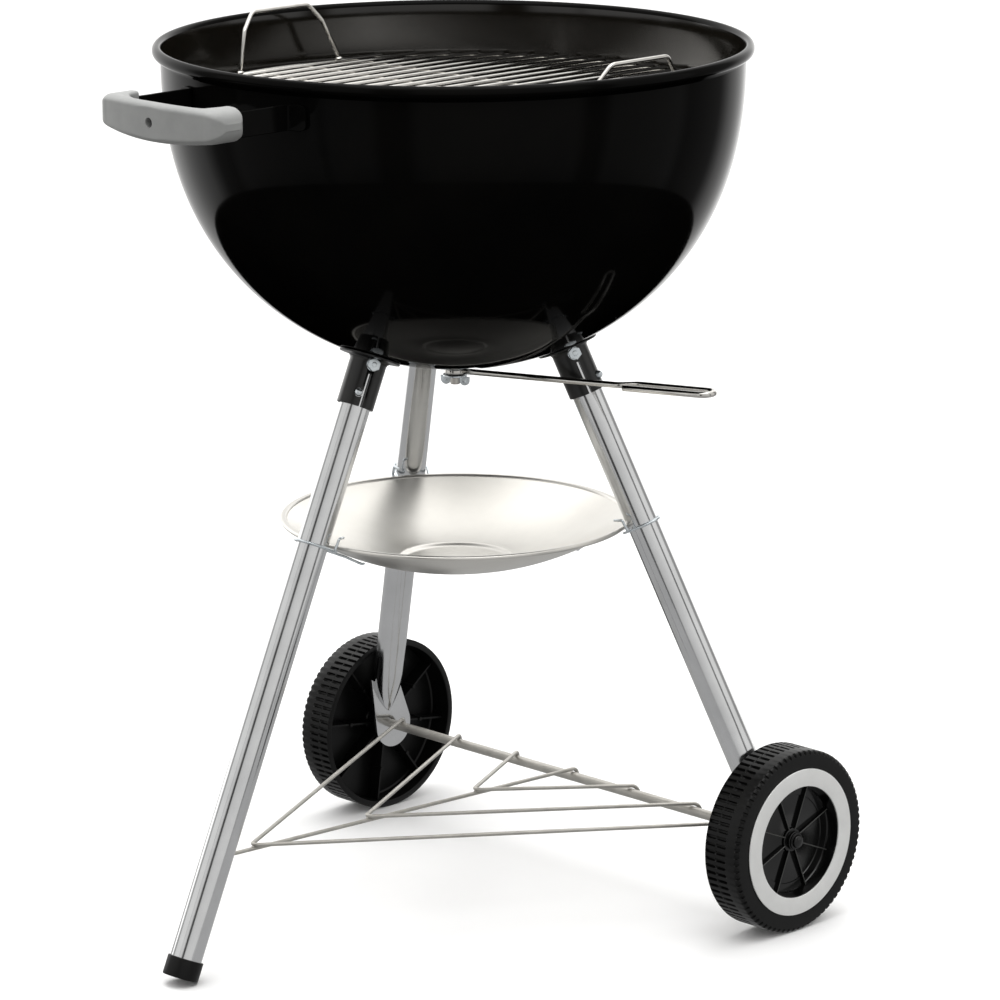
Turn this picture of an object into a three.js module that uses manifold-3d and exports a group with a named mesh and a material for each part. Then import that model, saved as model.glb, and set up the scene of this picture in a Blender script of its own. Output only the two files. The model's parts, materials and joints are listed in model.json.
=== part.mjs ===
// Kettle charcoal grill, lower half: an enamelled bowl on three tube legs, two of them with
// wheels, with its grates, ash sweep, ash pan, side handle and bottom wire rack.
// Millimetres. +Z is up, +X points from the bowl's axis to the leg without a wheel, and the
// axle runs along Y. The origin is on the ground, under the bowl's axis.

import * as THREE from 'three';
import { mergeVertices } from 'three/addons/utils/BufferGeometryUtils.js';
import Module from 'manifold-3d';

const wasm = await Module();
wasm.setup();

// ---------------------------------------------------------------- driving dimensions

const GAP = 0.3; // left between pieces that touch
const WELD = 0.6; // how far welded wires sink into each other

// Bowl: the outer wall is a superellipse of revolution below a rolled rim.
const RIM_Z = 712;
const RIM_RADIUS = 240;
const RIM_HALF_WIDTH = 4;
const RIM_HALF_HEIGHT = 4.8;
const BOWL_RADIUS = 233.5;
const BOWL_DEPTH = 258.35;
const BOWL_DEPTH_POWER = 2.382;
const BOWL_RADIUS_POWER = 1.947;
const BOWL_WALL = 1.6;
const BOWL_SEGMENTS = 40;
const BOWL_STEPS = 9;
const BOWL_HOLE_RADIUS = 5.2;
const VENT_AZIMUTHS = [60, 180, 300];
const VENT_INNER = 30;
const VENT_OUTER = 64;
const VENT_HALF_WIDTH = 10;

// Grates
const COOKING_GRATE = { z: 673.6, ring: 219.4, ringWire: 2.8, barWire: 2.2, pitch: 16.9, bars: 24 };
const COOKING_CROSS_X = [-81, -27, 27, 81];
const CHARCOAL_GRATE = { z: 552, ring: 168, ringWire: 2.8, barWire: 2.6, pitch: 24, bars: 14 };
const CHARCOAL_CROSS_X = [-45, 45];
const CROSS_WIRE = 2.5;
const GRATE_SEGMENTS = 32;
const WIRE_SIDES = 6;
const TAB_AZIMUTHS = [-75, 45, 165];
const TAB_HALF_WIDTH = 9;
const TAB_SHEET = 2;
const TAB_REACH = 17;
const TAB_HEIGHT = 16;
const TAB_WELD_ROOM = 1.4;
const LOOP_FOOT_HALF = 55;
const LOOP_SHOULDER_HALF = 43;
const LOOP_TOP_HALF = 31;
const LOOP_SHOULDER_HEIGHT = 31;
const LOOP_HEIGHT = 47.5;
const LOOP_LEAN = 14;
const LOOP_WIRE = 2.3;

// Side handle
const HANDLE_Z = 688;
const HANDLE_REACH = 320;
const GRIP_HEIGHT = 31;
const GRIP_HALF_LENGTH = 69;
const GRIP_FRONT_CORNER = 13;
const GRIP_END_CORNER = 4;
const GRIP_FILLET = 9;
const GRIP_BEVEL = 4;
const GRIP_SCREW_WELL = 3.8;
const STRAP_SCREW_HOLE = 2.9;
const STRAP_FOOT_HALF = 8;
const SCREW_SHANK = 2.4;
const SCREW_HEAD = 3.4;
const SCREW_HEAD_HEIGHT = 3.2;
const GRIP_BAR_DEPTH = 20;
const GRIP_END_DEPTH = 36;
const GRIP_END_WIDTH = 19;
const GRIP_BOW = 6;
const STRAP_ARM_Y = 56;
const STRAP_SHEET = 2.6;
const STRAP_HEIGHT = 20;
const STRAP_X = HANDLE_REACH - 16;

// Legs: each leans out from a point 500 mm above the ground.
const LEG_REF_Z = 500;
const LEG_REF_RADIUS = 82.25;
const LEG_RADIUS = 12.7;
const LEG_WALL = 1.2;
const LEG_TOP_Z = 471.5;
const LEG_SIDES = 16;
const FOOT_SLOPE = 0.45;
const WHEEL_LEG_SLOPE = 0.44;
const SOCKET_RADIUS = 15;
const BOLT_HEAD_ROOM = 0.8;
const BUTTON_FLANGE_RADIUS = 4.6;
const BUTTON_FLANGE_IN = 7;
const BUTTON_FLANGE_OUT = 8.4;
const SOCKET_BOTTOM_Z = 435.8;
const SOCKET_FLANGE_RADIUS = 25;
const SOCKET_SHEET = 1.5;
const SEAM_WIDTH = 2.4;
const BOLT_Z = 467.6;
const BOLT_HEAD_RADIUS = 5.6;
const BOLT_HEAD_HEIGHT = 4;
const BOLT_SHANK_RADIUS = 3;
const BUTTON_Z = 445.5;
const BUTTON_RADIUS = 3.1;
const BUTTON_PROUD = 3.8;

// Foot
const FOOT_END_Z = 4.7; // height of the middle of the cap's slanting end
const FOOT_CAP_RADIUS = 14.5;
const FOOT_CAP_LENGTH = 16;
const FOOT_CAP_FLOOR = 3;

// Axle and wheels
const WHEEL_RADIUS = 75.6;
const AXLE_X = -135.35;
const AXLE_RADIUS = 4;
const AXLE_HALF_LENGTH = 257;
const WHEEL_OUTER_Y = 258.8;
const WHEEL_INNER_Y = 224;
const WHEEL_SEGMENTS = 32;
const WHEEL_BORE_RADIUS = 4.5;
const HUB_RADIUS = 10;
const RIM_WALL_INNER = 69.5;
const WEB_BACK_Y = 244;
const FACE_RECESS_Y = 248.5;
const TRIM_OUTER_RADIUS = 60.85;
const TRIM_INNER_RADIUS = 45.9;
const TRIM_HEIGHT = 0.9;
const HUB_CAP_RADIUS = 6.6;
const HUB_CAP_CROWN = 2.4;
const HUB_PROUD = 6;
const WHEEL_RIBS = 8;
const RIB_BACK_Y = 230;
const PLATE_OUTER_Y = 223;
const PLATE_THICKNESS = 3;
const PLATE_RADIUS = 20;
const PLATE_TOP_RADIUS = 13.2;
const PLATE_HEIGHT = 28;
const TUBE_END_Z = 88;
const TUBE_CLOSED_Z = 104; // the bore ends here, where the tube is pressed shut

// Bottom rack
const RACK_WIRE = 1.6;
const RACK_SPINE_END_X = 256;
const RACK_SPINE_END_Z = 94.5;
const RACK_WIRES = [
  { name: 'rack_wire_large', apexX: 229, hookY: 210 },
  { name: 'rack_wire_medium', apexX: 104.5, hookY: 139 },
  { name: 'rack_wire_small', apexX: -18, hookY: 68 },
];

// Ash pan and the wire clips that hold it
const PAN_RIM_Z = 328.6;
const PAN_RADIUS = 143.2;
const PAN_FLOOR_Z = 290;
const PAN_SHEET = 1.2;
const PAN_STEP_RADIUS = 46;
const PAN_STEP_HEIGHT = 2.5;
const PAN_WALL_RADIUS = 137.5;
const PAN_BEAD = 1.9;
const PAN_SEGMENTS = 32;
const CLIP_WIRE = 1.1;
const CLIP_SHORT_REACH = 21;
const CLIP_LONG_REACH = 62;

// Ash sweep
const LEVER_AZIMUTH = 106;
const LEVER_WIRE = 2.5;
const LEVER_Z = 447.9;
const LEVER_END_Z = 453.5;
const LEVER_LOOP_START = 150;
const LEVER_END = 234;
const LEVER_EYE = 9;
const WING_NUT_RADIUS = 10;
const WING_NUT_SHEET = 1.6;
const WING_NUT_EAR = 4.6;
const WASHER_RADIUS = 12;
const WASHER_SHEET = 1.4;
const LEVER_LOOP_HALF = 8.5;
const SHAFT_RADIUS = 4;
const HUB_DISC_RADIUS = 14;
const BLADE_AZIMUTHS = [0, 120, 240];
const BLADE_HALF_WIDTH = 12;
const BLADE_END_RADIUS = 78;
const BLADE_SHEET = 1.2;
const BLADE_CLEARANCE = 1.2;

// ---------------------------------------------------------------- solids and placing

const rad = THREE.MathUtils.degToRad;
const vec = (x, y, z) => new THREE.Vector3(x, y, z);

// A closed geometry with shared vertices, no collapsed triangles, and its faces pointing out.
function closed(geometry) {
  const bare = geometry.clone();
  bare.deleteAttribute('normal');
  bare.deleteAttribute('uv');
  const merged = mergeVertices(bare, 1e-4);
  const index = Array.from(merged.index.array);
  const corner = (i) => new THREE.Vector3().fromBufferAttribute(merged.attributes.position, i);
  const kept = [];
  let volume = 0;
  for (let i = 0; i < index.length; i += 3) {
    const [a, b, c] = index.slice(i, i + 3);
    if (a === b || b === c || c === a) continue;
    kept.push([a, b, c]);
    volume += corner(a).dot(corner(b).cross(corner(c)));
  }
  merged.setIndex(kept.flatMap(([a, b, c]) => (volume < 0 ? [a, c, b] : [a, b, c])));
  return merged;
}

function solid(geometry) {
  const shape = closed(geometry);
  const vertProperties = new Float32Array(shape.attributes.position.array);
  const triVerts = new Uint32Array(shape.index.array);
  return new wasm.Manifold(new wasm.Mesh({ numProp: 3, vertProperties, triVerts }));
}

function geometryOf(manifold) {
  const mesh = manifold.getMesh();
  const geometry = new THREE.BufferGeometry();
  geometry.setAttribute('position', new THREE.BufferAttribute(mesh.vertProperties, 3));
  geometry.setIndex(new THREE.BufferAttribute(mesh.triVerts, 1));
  return geometry;
}

// Joins the first solid with the rest.
function joined(first, ...rest) {
  return rest.reduce((sum, piece) => sum.add(piece), first);
}

function rod(radius, z0, z1, sides = LEG_SIDES) {
  const geometry = new THREE.CylinderGeometry(radius, radius, z1 - z0, sides);
  geometry.rotateX(Math.PI / 2);
  geometry.translate(0, 0, (z0 + z1) / 2);
  return geometry;
}

function block(x0, x1, y0, y1, z0, z1) {
  const geometry = new THREE.BoxGeometry(x1 - x0, y1 - y0, z1 - z0);
  geometry.translate((x0 + x1) / 2, (y0 + y1) / 2, (z0 + z1) / 2);
  return geometry;
}

// A body of revolution about Z from [radius, z] points.
function turned(points, segments) {
  const profile = points.map(([r, z]) => new THREE.Vector2(r, z));
  const geometry = new THREE.LatheGeometry(profile, segments);
  geometry.rotateX(Math.PI / 2);
  return geometry;
}

function turnedRing(points, segments) {
  return turned([...points, points[0]], segments);
}

// A flat outline of [x, y] points, extruded along Z.
function plate(points, z0, z1) {
  const shape = new THREE.Shape(points.map(([x, y]) => new THREE.Vector2(x, y)));
  const geometry = new THREE.ExtrudeGeometry(shape, { depth: z1 - z0, bevelEnabled: false });
  geometry.translate(0, 0, z0);
  return geometry;
}

function arc(cx, cy, radius, from, to, steps) {
  return Array.from({ length: steps + 1 }, (_, i) => {
    const a = rad(from + ((to - from) * i) / steps);
    return [cx + radius * Math.cos(a), cy + radius * Math.sin(a)];
  });
}

// A path through points, taken in equal steps from one point to the next.
class PointPath extends THREE.Curve {
  constructor(points) {
    super();
    this.points = points;
  }

  getPoint(t, target = new THREE.Vector3()) {
    const last = this.points.length - 1;
    const at = Math.min(Math.max(t * last, 0), last);
    const i = Math.min(Math.floor(at + 1e-9), last - 1);
    return target.lerpVectors(this.points[i], this.points[i + 1], at - i);
  }

  getPointAt(u, target) {
    return this.getPoint(u, target);
  }

  getTangentAt(u, target = new THREE.Vector3()) {
    const last = this.points.length - 1;
    const i = Math.round(u * last);
    const before = this.points[Math.max(i - 1, 0)];
    const here = this.points[i];
    const after = this.points[Math.min(i + 1, last)];
    const incoming = here.clone().sub(before).normalize();
    const outgoing = after.clone().sub(here).normalize();
    return target.addVectors(incoming, outgoing).normalize();
  }
}

// The points of a bent wire: each inner corner becomes an arc of the bend radius.
function bent(corners, radius, stepAngle = 35) {
  const points = [corners[0]];
  for (let i = 1; i < corners.length - 1; i += 1) {
    const corner = corners[i];
    const incoming = corner.clone().sub(corners[i - 1]).normalize();
    const outgoing = corners[i + 1].clone().sub(corner).normalize();
    const turn = incoming.angleTo(outgoing);
    const steps = Math.max(1, Math.ceil(THREE.MathUtils.radToDeg(turn) / stepAngle));
    const inward = outgoing.clone().sub(incoming).normalize();
    const centre = corner.clone().addScaledVector(inward, radius / Math.cos(turn / 2));
    const start = corner.clone().addScaledVector(incoming, -radius * Math.tan(turn / 2));
    const spoke = start.clone().sub(centre);
    for (let k = 0; k <= steps; k += 1) {
      const a = (turn * k) / steps;
      const point = centre.clone().addScaledVector(spoke, Math.cos(a));
      points.push(point.addScaledVector(incoming, radius * Math.sin(a)));
    }
  }
  points.push(corners[corners.length - 1]);
  return points;
}

function wire(points, radius, sides = WIRE_SIDES) {
  const section = new THREE.Shape(arc(0, 0, radius, 0, 360, sides).slice(0, sides)
    .map(([x, y]) => new THREE.Vector2(x, y)));
  const extrudePath = new PointPath(points);
  const options = { steps: points.length - 1, extrudePath, bevelEnabled: false };
  return new THREE.ExtrudeGeometry(section, options);
}

function straightWire(a, b, radius, sides = WIRE_SIDES) {
  return wire([a, b], radius, sides);
}

const grill = new THREE.Group();

function add(name, shape, color, roughness, metalness) {
  const geometry = shape.isBufferGeometry ? closed(shape) : geometryOf(shape);
  const material = new THREE.MeshStandardMaterial({ color, roughness, metalness });
  const mesh = new THREE.Mesh(geometry, material);
  mesh.name = name;
  grill.add(mesh);
  return mesh;
}

const ENAMEL = [0x0b0b0a, 0.12, 0.0];
const CHROME = [0xc9cbcc, 0.12, 1.0];
const ZINC = [0xb9c0c2, 0.3, 1.0];
const GRATE_STEEL = [0xd2cfc8, 0.22, 1.0];
const RACK_STEEL = [0x8f8b82, 0.5, 0.8];
const GREY_NYLON = [0x7d7e7c, 0.45, 0.0];
const BLACK_PLASTIC = [0x0d0d0c, 0.5, 0.0];
const WHITE_PAINT = [0xe9e9e6, 0.4, 0.0];
const ALUMINIUM = [0xbdbbb3, 0.35, 1.0];

// ---------------------------------------------------------------- bowl

// A point of the bowl's outer wall, moved out by an offset: t is 0 at the bottom, 1 at the rim.
function bowlPoint(t, offset = 0) {
  const at = (s) => {
    const angle = (s * Math.PI) / 2;
    const r = BOWL_RADIUS * Math.sin(angle) ** (2 / BOWL_RADIUS_POWER);
    const z = RIM_Z - BOWL_DEPTH * Math.cos(angle) ** (2 / BOWL_DEPTH_POWER);
    return [r, z];
  };
  const [r, z] = at(t);
  const [r1, z1] = at(t + 0.002);
  const [r0, z0] = at(Math.max(t - 0.002, 0));
  const length = Math.hypot(r1 - r0, z1 - z0);
  return [r + (offset * (z1 - z0)) / length, z - (offset * (r1 - r0)) / length];
}

// The share t at which the outer wall has a given radius.
function bowlShare(radius) {
  return Math.asin((radius / BOWL_RADIUS) ** (BOWL_RADIUS_POWER / 2)) / (Math.PI / 2);
}

// Points along the wall from one share to another.
function wallLine(from, to, steps, offset = 0) {
  return Array.from({ length: steps + 1 }, (_, i) => {
    return bowlPoint(from + ((to - from) * i) / steps, offset);
  });
}

const WALL_TOP = 0.99;
const rimCentre = RIM_RADIUS - RIM_HALF_WIDTH;

function bowlShell() {
  const start = bowlShare(BOWL_HOLE_RADIUS);
  const outer = wallLine(start, WALL_TOP, BOWL_STEPS);
  const inner = wallLine(start, WALL_TOP, BOWL_STEPS, -BOWL_WALL).reverse();
  inner[inner.length - 1][0] = BOWL_HOLE_RADIUS;
  const bead = [-50, 0, 50, 100, 150].map((a) => {
    return [rimCentre + RIM_HALF_WIDTH * Math.cos(rad(a)), RIM_Z + RIM_HALF_HEIGHT * Math.sin(rad(a))];
  });
  return solid(turnedRing([...outer, ...bead, ...inner], BOWL_SEGMENTS));
}

function ventCut(azimuth) {
  const outline = [
    ...arc(VENT_OUTER, 0, VENT_HALF_WIDTH, -90, 90, 4),
    ...arc(VENT_INNER, 0, VENT_HALF_WIDTH, 90, 270, 4),
  ];
  const geometry = plate(outline, RIM_Z - BOWL_DEPTH - 10, RIM_Z - BOWL_DEPTH + 40);
  return solid(geometry.rotateZ(rad(azimuth)));
}

add('bowl', VENT_AZIMUTHS.reduce((shell, a) => shell.subtract(ventCut(a)), bowlShell()), ...ENAMEL);

// The filled bowl, grown by an offset, cuts the pieces that meet its outside.
function filledBowl(offset) {
  const line = wallLine(bowlShare(BOWL_HOLE_RADIUS), WALL_TOP, BOWL_STEPS, offset);
  const bottom = [0, line[0][1]];
  const top = [0, line[line.length - 1][1]];
  return solid(turned([bottom, ...line, top], BOWL_SEGMENTS));
}

const bowlWithGap = filledBowl(GAP + 0.1);
const bowlWithFlange = filledBowl(GAP + 0.1 + SOCKET_SHEET);

// ---------------------------------------------------------------- grates and their tabs

function innerRadiusAt(z) {
  const share = 1 - ((RIM_Z - z) / BOWL_DEPTH) ** BOWL_DEPTH_POWER;
  return BOWL_RADIUS * share ** (1 / BOWL_RADIUS_POWER) - BOWL_WALL;
}

// An angle tab welded to the bowl's inner wall, with its shelf under a grate's ring.
function tab(shelfZ) {
  const foot = shelfZ - TAB_HEIGHT;
  const wall = innerRadiusAt(foot) * Math.cos(Math.PI / BOWL_SEGMENTS);
  const back = Math.sqrt(wall ** 2 - TAB_HALF_WIDTH ** 2) - GAP - TAB_WELD_ROOM;
  const profile = [
    [back, foot],
    [back, shelfZ],
    [back - TAB_REACH, shelfZ],
    [back - TAB_REACH, shelfZ - TAB_SHEET],
    [back - TAB_SHEET, shelfZ - TAB_SHEET],
    [back - TAB_SHEET, foot],
  ];
  const geometry = plate(profile, -TAB_HALF_WIDTH, TAB_HALF_WIDTH);
  return geometry.rotateX(Math.PI / 2);
}

function ringHeight(grate) {
  return grate.z - grate.barWire - grate.ringWire + WELD;
}

function grateGrid(grate) {
  const ring = new THREE.TorusGeometry(grate.ring, grate.ringWire, WIRE_SIDES, GRATE_SEGMENTS);
  ring.translate(0, 0, ringHeight(grate));
  const bars = Array.from({ length: grate.bars }, (_, i) => {
    const y = (i - (grate.bars - 1) / 2) * grate.pitch;
    const half = Math.sqrt(grate.ring ** 2 - y ** 2) + 1;
    return solid(straightWire(vec(-half, y, grate.z), vec(half, y, grate.z), grate.barWire));
  });
  return joined(solid(ring), ...bars);
}

function crossWire(grate, x) {
  const inside = grate.ring * Math.cos(Math.PI / GRATE_SEGMENTS) - grate.ringWire - GAP - 0.2;
  const half = Math.sqrt(inside ** 2 - (Math.abs(x) + CROSS_WIRE) ** 2);
  const z = grate.z - grate.barWire - CROSS_WIRE - GAP;
  return straightWire(vec(x, -half, z), vec(x, half, z), CROSS_WIRE);
}

const GRATES = [
  { node: 'cooking_grate', tab: 'cooking_grate_tab', size: COOKING_GRATE, cross: COOKING_CROSS_X },
  { node: 'charcoal_grate', tab: 'charcoal_grate_tab', size: CHARCOAL_GRATE, cross: CHARCOAL_CROSS_X },
];

for (const { node, tab: tabName, size, cross } of GRATES) {
  add(node, grateGrid(size), ...GRATE_STEEL);
  cross.forEach((x, i) => add(`${node}_cross_wire_${i + 1}`, crossWire(size, x), ...GRATE_STEEL));
  const shelfZ = ringHeight(size) - size.ringWire - GAP;
  TAB_AZIMUTHS.forEach((azimuth, i) => {
    add(`${tabName}_${i + 1}`, tab(shelfZ).rotateZ(rad(azimuth)), ...ENAMEL);
  });
}

// A lifting loop that stands on the outermost bar and leans outwards.
function grateLoop(side) {
  const y = ((COOKING_GRATE.bars - 1) / 2) * COOKING_GRATE.pitch;
  const footZ = COOKING_GRATE.z + COOKING_GRATE.barWire + LOOP_WIRE / 2 + GAP;
  const corner = (x, height) => {
    return vec(x, side * (y + height * Math.tan(rad(LOOP_LEAN))), footZ + height);
  };
  const half = [
    [LOOP_FOOT_HALF, 0],
    [LOOP_SHOULDER_HALF, LOOP_SHOULDER_HEIGHT],
    [LOOP_TOP_HALF, LOOP_HEIGHT - LOOP_WIRE],
  ];
  const corners = [...half, ...half.map(([x, h]) => [-x, h]).reverse()];
  return wire(bent(corners.map(([x, h]) => corner(x, h)), 8), LOOP_WIRE, 8);
}

add('grate_handle_left', grateLoop(-1), ...GRATE_STEEL);
add('grate_handle_right', grateLoop(1), ...GRATE_STEEL);

// ---------------------------------------------------------------- side handle

// The strap's outline seen from above: two arms and a bar across them, grown by an offset.
function strap(grow, height) {
  const armOut = STRAP_ARM_Y + STRAP_SHEET / 2 + grow;
  const armIn = STRAP_ARM_Y - STRAP_SHEET / 2 - grow;
  const root = innerRadiusAt(HANDLE_Z) - 20;
  const front = STRAP_X + STRAP_SHEET / 2 + grow;
  const back = STRAP_X - STRAP_SHEET / 2 - grow;
  const outline = [
    [root, -armOut],
    [front, -armOut],
    [front, armOut],
    [root, armOut],
    [root, armIn],
    [back, armIn],
    [back, -armIn],
    [root, -armIn],
  ];
  return solid(plate(outline, HANDLE_Z - height / 2 - grow, HANDLE_Z + height / 2 + grow));
}

// A foot of the strap, folded flat against the bowl.
function strapFoot(side) {
  const middle = STRAP_ARM_Y + STRAP_FOOT_HALF - 1;
  const azimuth = THREE.MathUtils.radToDeg(Math.asin(middle / BOWL_RADIUS)) * side;
  const r = BOWL_RADIUS;
  const half = STRAP_HEIGHT / 2;
  return solid(block(r - 4, r + STRAP_SHEET, -STRAP_FOOT_HALF, STRAP_FOOT_HALF, HANDLE_Z - half,
    HANDLE_Z + half).rotateZ(rad(azimuth)));
}

// The bowl's wall near the handle, grown by the gap.
function rimBand() {
  const line = wallLine(0.6, WALL_TOP, 6, GAP + 0.1);
  return solid(turned([[0, line[0][1]], ...line, [0, RIM_Z]], BOWL_SEGMENTS));
}

function bracket() {
  const screwHole = rod(STRAP_SCREW_HOLE, STRAP_X - 5, STRAP_X + 5, 8).rotateY(Math.PI / 2)
    .translate(0, 0, HANDLE_Z);
  return joined(strap(0, STRAP_HEIGHT), strapFoot(1), strapFoot(-1))
    .subtract(rimBand())
    .subtract(solid(screwHole));
}

// The grip's outline seen from above: a bowed front, rounded ends that reach back to the
// strap, and a finger gap behind the bar.
function gripOutline() {
  const front = HANDLE_REACH - GRIP_BOW;
  const corner = GRIP_FRONT_CORNER;
  const small = GRIP_END_CORNER;
  const fillet = GRIP_FILLET;
  const cornerX = front - corner;
  const cornerY = GRIP_HALF_LENGTH - corner;
  const bow = [-0.6, 0, 0.6].map((s) => [HANDLE_REACH - GRIP_BOW * s * s, cornerY * s]);
  const end = HANDLE_REACH - GRIP_END_DEPTH;
  const innerY = GRIP_HALF_LENGTH - GRIP_END_WIDTH;
  const back = HANDLE_REACH - GRIP_BAR_DEPTH;
  return [
    ...arc(cornerX, -cornerY, corner, -90, 0, 4),
    ...bow,
    ...arc(cornerX, cornerY, corner, 0, 90, 4),
    ...arc(end + small, GRIP_HALF_LENGTH - small, small, 90, 180, 2),
    ...arc(end + small, innerY + small, small, 180, 270, 2),
    ...arc(back - fillet, innerY - fillet, fillet, 90, 0, 3),
    ...arc(back - fillet, -innerY + fillet, fillet, 0, -90, 3),
    ...arc(end + small, -innerY - small, small, 90, 180, 2),
    ...arc(end + small, -GRIP_HALF_LENGTH + small, small, 180, 270, 2),
  ];
}

function grip() {
  const shape = new THREE.Shape(gripOutline().map(([x, y]) => new THREE.Vector2(x, y)));
  const geometry = new THREE.ExtrudeGeometry(shape, {
    depth: GRIP_HEIGHT - 2 * GRIP_BEVEL,
    bevelThickness: GRIP_BEVEL,
    bevelSize: GRIP_BEVEL * 0.7,
    bevelOffset: -GRIP_BEVEL * 0.7,
    bevelSegments: 2,
  });
  geometry.translate(0, 0, HANDLE_Z - GRIP_HEIGHT / 2 + GRIP_BEVEL);
  const screwHole = rod(GRIP_SCREW_WELL, STRAP_X, HANDLE_REACH + 5, 12).rotateY(Math.PI / 2)
    .translate(0, 0, HANDLE_Z);
  return solid(geometry).subtract(strap(GAP, STRAP_HEIGHT)).subtract(solid(screwHole));
}

// A pan-head screw, seen from the side as [radius, distance from the bowl's axis].
function handleScrew() {
  const head = STRAP_X + STRAP_SHEET / 2 + GAP;
  const profile = [
    [0, STRAP_X - STRAP_SHEET / 2],
    [SCREW_SHANK, STRAP_X - STRAP_SHEET / 2],
    [SCREW_SHANK, head],
    [SCREW_HEAD, head],
    [SCREW_HEAD, head + SCREW_HEAD_HEIGHT * 0.6],
    [SCREW_HEAD * 0.6, head + SCREW_HEAD_HEIGHT],
    [0, head + SCREW_HEAD_HEIGHT],
  ];
  return turned(profile, 8).rotateY(Math.PI / 2).translate(0, 0, HANDLE_Z);
}

add('handle_bracket', bracket(), ...ENAMEL);
add('handle_grip', grip(), ...GREY_NYLON);
add('handle_screw', handleScrew(), ...ZINC);

// ---------------------------------------------------------------- legs and sockets

// Each leg has its own axes: x outwards, y sideways, z up along the tube.
const LEGS = [
  { name: 'foot_leg', azimuth: 0, slope: FOOT_SLOPE, bolt: 62, button: 45, mirror: 1 },
  { name: 'wheel_leg_right', azimuth: 120, slope: WHEEL_LEG_SLOPE, bolt: -62, button: -6, mirror: -1 },
  { name: 'wheel_leg_left', azimuth: -120, slope: WHEEL_LEG_SLOPE, bolt: 62, button: 6, mirror: 1 },
];

function legMatrix(leg) {
  const tilt = Math.atan(leg.slope);
  const matrix = new THREE.Matrix4().makeRotationZ(rad(leg.azimuth));
  matrix.multiply(new THREE.Matrix4().makeTranslation(LEG_REF_RADIUS, 0, LEG_REF_Z));
  return matrix.multiply(new THREE.Matrix4().makeRotationY(-tilt));
}

// The distance along a leg's tube of the point that is at a height above the ground.
function along(leg, z) {
  return (z - LEG_REF_Z) / Math.cos(Math.atan(leg.slope));
}

function placed(leg, geometry) {
  return geometry.applyMatrix4(legMatrix(leg));
}

// A rod that sticks out of a leg sideways, at a height and an angle round the tube.
function sideways(leg, geometry, z, angle) {
  geometry.rotateY(Math.PI / 2);
  geometry.rotateZ(rad(angle));
  geometry.translate(0, 0, along(leg, z));
  return placed(leg, geometry);
}

function socket(leg) {
  const bottom = along(leg, SOCKET_BOTTOM_Z);
  const top = along(leg, LEG_REF_Z);
  const bore = LEG_RADIUS + GAP + 0.2;
  const flange = solid(placed(leg, rod(SOCKET_FLANGE_RADIUS, bottom, top, 20))).intersect(bowlWithFlange);
  const outside = solid(placed(leg, rod(SOCKET_RADIUS, bottom, top, 20)));
  const seam = block(bore - 2, SOCKET_RADIUS + 2, -SEAM_WIDTH / 2, SEAM_WIDTH / 2, bottom - 1,
    along(leg, BOLT_Z - 7));
  return outside.add(flange.subtract(solid(boltRoom(leg))))
    .subtract(solid(placed(leg, rod(bore, bottom - 1, top + 1, LEG_SIDES))))
    .subtract(bowlWithGap)
    .subtract(solid(placed(leg, seam.rotateZ(rad(leg.bolt)))))
    .subtract(solid(sideways(leg, rod(BOLT_SHANK_RADIUS + GAP, 8, 20, 10), BOLT_Z, leg.bolt)))
    .subtract(solid(sideways(leg, rod(BUTTON_RADIUS + GAP, 8, 20, 10), BUTTON_Z, leg.button)));
}

// The room that a bolt's head needs beside the socket.
function boltRoom(leg) {
  return sideways(leg, rod(BOLT_HEAD_RADIUS + BOLT_HEAD_ROOM, SOCKET_RADIUS, 40, 12), BOLT_Z, leg.bolt);
}

function bolt(leg) {
  const seat = SOCKET_RADIUS + GAP;
  const head = solid(rod(BOLT_HEAD_RADIUS, seat, seat + BOLT_HEAD_HEIGHT, 6));
  const shank = solid(rod(BOLT_SHANK_RADIUS, 9, seat + 1, 10));
  return sideways(leg, geometryOf(head.add(shank)), BOLT_Z, leg.bolt);
}

// A spring button: a domed pin through leg and socket, kept in by a flange inside the tube.
function button(leg) {
  const tip = SOCKET_RADIUS + BUTTON_PROUD;
  const profile = [
    [0, BUTTON_FLANGE_IN],
    [BUTTON_FLANGE_RADIUS, BUTTON_FLANGE_IN],
    [BUTTON_FLANGE_RADIUS, BUTTON_FLANGE_OUT],
    [BUTTON_RADIUS, BUTTON_FLANGE_OUT],
    [BUTTON_RADIUS, tip - BUTTON_RADIUS],
    [BUTTON_RADIUS * 0.7, tip - BUTTON_RADIUS * 0.3],
    [0, tip],
  ];
  return sideways(leg, turned(profile, 10), BUTTON_Z, leg.button);
}

function legHoles(leg, tube) {
  return tube
    .subtract(solid(sideways(leg, rod(BOLT_SHANK_RADIUS + GAP, 8, 20, 10), BOLT_Z, leg.bolt)))
    .subtract(solid(sideways(leg, rod(BUTTON_RADIUS + GAP, 8, 20, 10), BUTTON_Z, leg.button)));
}

function footLeg(leg) {
  const bottom = along(leg, FOOT_END_Z) + FOOT_CAP_FLOOR + GAP;
  const top = along(leg, LEG_TOP_Z);
  const outer = solid(placed(leg, rod(LEG_RADIUS, bottom, top)));
  const bore = solid(placed(leg, rod(LEG_RADIUS - LEG_WALL, bottom - 1, top + 1)));
  const rackHole = solid(rod(RACK_WIRE + 0.6, 235, 262, 8).rotateY(Math.PI / 2)
    .translate(0, 0, RACK_SPINE_END_Z));
  return legHoles(leg, outer.subtract(bore)).subtract(rackHole);
}

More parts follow.
